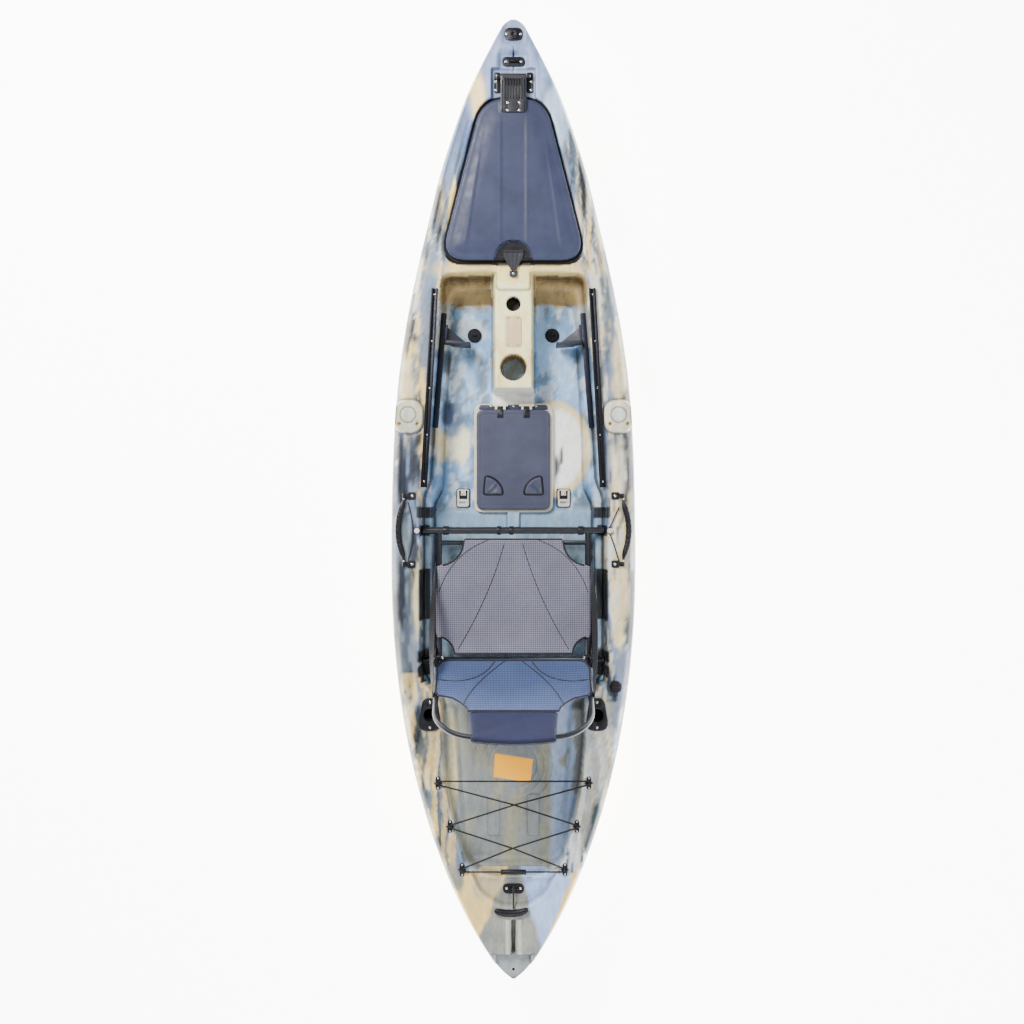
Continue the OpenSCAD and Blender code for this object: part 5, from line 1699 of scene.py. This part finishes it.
def make_head_panel(cloth, trim, piping, upright):
    """Padded panel wrapped round the top tube, with a pale piped seam and a curved rear edge."""
    bottom, top, thick = 331, 474, 13.2

    def edge(y):
        return 148 - 9 * (y - bottom) / (top - bottom)

    nx, ny = 44, 26
    points, faces = [], []
    for layer in (1, -1):
        for j in range(ny + 1):
            for i in range(nx + 1):
                u, v = 2 * i / nx - 1, j / ny
                y = bottom + (top - bottom) * v + 15 * (1 - u * u) * v - 9 * (1 - u * u) * (1 - v)
                x = u * edge(y)
                rim = min(1 - abs(u), v * 0.9 + 0.02, (1 - v) * 0.9 + 0.02)
                puff = math.sqrt(max(0.0, 1 - (1 - min(1, rim * 7)) ** 2))
                crease = 0.7 * math.sin(u * 9 + v * 4) * math.sin(v * 11 - u * 3) * min(1, rim * 5)
                z = layer * (4.0 + (thick - 4.8) * puff) + crease * layer
                points.append(upright @ Vector((x, y, z)))
    m = (nx + 1) * (ny + 1)
    for quad in grid_faces(ny + 1, nx + 1):
        faces += [quad, tuple(q + m for q in reversed(quad))]
    rim = ([i for i in range(nx + 1)] + [j * (nx + 1) + nx for j in range(1, ny + 1)]
           + [ny * (nx + 1) + i for i in range(nx - 1, -1, -1)] + [j * (nx + 1) for j in range(ny - 1, 0, -1)])
    for a, b in zip(rim, rim[1:] + rim[:1]):
        faces.append((b, a, a + m, b + m))
    panel = mesh_object("back_top_panel", points, faces, cloth, "seat_back")
    stands_for(panel, "dark_fabric", "back_top_panel")
    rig.padded(panel, fill=0.55)
    for name, y0, k, z, r, paint, slot_name in (("head_piping", bottom + 1, -9, -8.5, 2.0, piping, "mesh_fabric"),
                                                ("head_binding", top - 1, 15, 0, 3.4, trim, "webbing")):
        path = [upright @ Vector((u * edge(y0), y0 + k * (1 - u * u), z)) for u in np.linspace(-0.985, 0.985, 30)]
        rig.slot(tube(name, path, r, paint, "seat_back", 10), slot_name)


def webbing_strap(name, material, start, end, width, thick, twist, bulge):
    """A flat strap from start to end whose face turns by twist degrees on the way."""
    steps = 24
    start, end = np.array(start, float), np.array(end, float)
    along = unit(end - start)
    out = np.array([1.0 if start[0] > 0 else -1.0, 0, 0])
    face = unit(np.cross(along, out))
    points = []
    for s in np.arange(steps + 1) / steps:
        a = math.radians(twist) * math.sin(math.pi * s)
        u = face * math.cos(a) + out * math.sin(a)
        w = np.cross(along, u)
        c = start + (end - start) * s + out * bulge * math.sin(math.pi * s)
        for p, q in ((-1, -1), (1, -1), (1, 1), (-1, 1)):
            points.append(c + u * p * width / 2 + w * q * thick / 2)
    faces = grid_faces(steps + 1, 4, True) + [(3, 2, 1, 0), tuple(steps * 4 + k for k in range(4))]
    return mesh_object(name, points, faces, material, None, smooth=False)


def make_straps(webbing, black):
    top = (back_pin[0] - 236 * math.sin(back_lean), back_pin[1] + 236 * math.cos(back_lean))
    for name, s in (("right", 1), ("left", -1)):
        strap = webbing_strap("recline_strap_" + name, webbing, (s * 274.2, -215, 221), (s * 274.2, *top),
                              24, 1.9, 52, 7)
        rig.blend(strap, "seat_base", "seat_back", (s * 0.274, -0.235, 0.235), (s * 0.274, top[0] * MM, top[1] * MM))
        stands_for(strap, "webbing", "recline_strap_" + name)
    from_node("strap_buckles", "seat_back", black, "black_plastic", 0.3)


def make_seat_frame(tube_paint, black, steel):
    from_node("seat_frame", "seat_base", tube_paint, "seat_tube", 0)
    from_node("seat_tube_caps", "seat_base", black, "black_plastic", 1.2, 3)
    from_node("seat_brackets", "seat_base", black, "black_plastic", 0.9)
    from_node("seat_pivot_bolts", "seat_base", steel, "stainless", 0.6)


# ---------- the kayak ----------
make_camera()

BLACK, SLATE_DARK = (0.006, 0.006, 0.009), (0.050, 0.054, 0.090)
cord_skin = weave("cord_braid", (0.030, 0.031, 0.036), (0.004, 0.004, 0.005), 2.4, rough=0.7, depth=0.4)
black_plastic = plastic("black_plastic", BLACK, 0.42, edge=2.4, specular=0.28)
make_cords(cord_skin)
make_toggle(cord_skin, black_plastic)
make_bungee(cord_skin)

make_stage()
camouflage = hull_plastic()
make_deck(camouflage)
make_shell(camouflage)

slate_plastic = plastic("slate_plastic", SLATE_DARK, 0.46, 700, 0.2, 0.14, edge=1.6, specular=0.25)
bow_slate = plastic("bow_slate_plastic", (0.036, 0.043, 0.086), 0.44, 700, 0.2, 0.16, edge=1.6, specular=0.25)
pedal_plastic = plastic("pedal_plastic", (0.020, 0.022, 0.034), 0.45, 700, 0.15, 0.14, edge=1.8, specular=0.25)
cream_plastic = plastic("cream_plastic", (0.66, 0.60, 0.47), 0.44, 800, 0.15, 0.12, edge=1.15)
tan_plastic = plastic("tan_plastic", (0.70, 0.52, 0.30), 0.46, 800, 0.15, 0.1, edge=1.15)
button_plastic = plastic("button_plastic", (0.62, 0.58, 0.50), 0.4, edge=1.1)
rubber = plastic("rubber", (0.012, 0.013, 0.017), 0.68, 500, 0.2, 0.2, edge=1.6, specular=0.12)
strap_rubber = plastic("strap_rubber", (0.026, 0.027, 0.034), 0.6, 500, 0.2, 0.2, edge=1.8, specular=0.25)
steel = metal("stainless", (0.66, 0.66, 0.65), 0.24)
brass = metal("brass", (0.62, 0.40, 0.13), 0.36)
rail_metal = metal("anodised_black", (0.022, 0.023, 0.028), 0.42, (0.1, 1, 1))
track_metal = metal("track_paint", (0.030, 0.033, 0.050), 0.5, (0.1, 1, 1))
tube_paint = plastic("tube_powder_coat", (0.009, 0.010, 0.015), 0.38, 1200, 0.1, 0.15, edge=1.1, specular=0.3)
webbing = weave("webbing", (0.022, 0.023, 0.028), (0.004, 0.004, 0.006), 3.0, rough=0.85, depth=0.5)
seam_thread = weave("seam_thread", (0.024, 0.026, 0.036), (0.010, 0.011, 0.016), 2.0, rough=0.8, depth=0.3)
mesh_cloth = weave("seat_mesh_weave", (0.235, 0.23, 0.295), (0.060, 0.062, 0.090), 9.2, rough=0.82, depth=0.9,
                   open_share=0.7, sheen=0.1)
back_cloth = weave("back_mesh_weave", (0.082, 0.122, 0.265), (0.034, 0.052, 0.125), 7.4, rough=0.84, depth=0.7,
                   open_share=0.7, sheen=0.08)
top_cloth = weave("head_panel_cloth", (0.020, 0.024, 0.066), (0.010, 0.012, 0.036), 2.0, rough=0.72, depth=0.35,
                  sheen=0.02)
piping = weave("piping", (0.50, 0.57, 0.68), (0.30, 0.36, 0.46), 2.2, rough=0.6, depth=0.3)
label_paint = plastic("label_vinyl", (1.0, 0.46, 0.015), 0.4, 500, 0.05, 0.06, edge=1.0, specular=0.15)
glow = label_paint.node_tree.nodes["Principled BSDF"].inputs  # fluorescent ink, given a painted glow: emission brightens the label beyond what it reflects
glow["Emission Color"].default_value, glow["Emission Strength"].default_value = (1.0, 0.36, 0.03, 1), 0.45

make_bow_lid(bow_slate, rubber, strap_rubber, black_plastic, steel)
make_centre_hatch(slate_plastic, cream_plastic, rubber, black_plastic, steel)
make_seat_frame(tube_paint, black_plastic, steel)
make_seat_pan(mesh_cloth, webbing, seam_thread)
make_seat_back(back_cloth, top_cloth, webbing, piping, seam_thread, tube_paint)
make_straps(webbing, black_plastic)
make_handles(black_plastic)
make_anchor_trim(rubber)

for name, paint, slot_name, width in (
        ("nose_fitting", black_plastic, "black_plastic", 1.2), ("bow_padeye", black_plastic, "black_plastic", 0.9),
        ("insert_plate", tan_plastic, "hull_plastic", 1.0), ("brass_inserts", brass, "brass", 0.3),
        ("accessory_rails", rail_metal, "anodised", 0.5), ("foot_brace_tracks", track_metal, "track_metal", 0.8),
        ("rod_holders", black_plastic, "black_plastic", 1.6), ("strap_anchors", cream_plastic, "hull_plastic", 1.0),
        ("pad_inserts", brass, "brass", 0.4), ("handle_anchors", black_plastic, "black_plastic", 0.8),
        ("handle_pins", steel, "stainless", 0.4), ("paddle_buttons", button_plastic, "black_plastic", 0.9),
        ("deck_loops", black_plastic, "black_plastic", 0.6), ("bungee_connector", black_plastic, "black_plastic", 1.5),
        ("stern_padeye", black_plastic, "black_plastic", 0.9), ("drain_housing", black_plastic, "black_plastic", 1.0),
        ("hull_label", label_paint, "label", 0.15)):
    from_node(name, "hull", paint, slot_name, width, as_name=name + "_piece")
for name, paint, slot_name, width in (
        ("pedal_left", pedal_plastic, "slate_plastic", 1.4), ("pedal_right", pedal_plastic, "slate_plastic", 1.4),
        ("scupper_plug_left", rubber, "rubber", 1.2), ("scupper_plug_right", rubber, "rubber", 1.2),
        ("drain_plug", black_plastic, "black_plastic", 0.9)):
    from_node(name, name, paint, slot_name, width, as_name=name + "_piece")
screw_heads("deck_screws", "deck_screws", "hull", steel)

size_at_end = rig.bounds()
with open("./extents.json", "w") as report:
    json.dump({"start": [list(c) for c in size_at_start], "end": [list(c) for c in size_at_end]}, report)
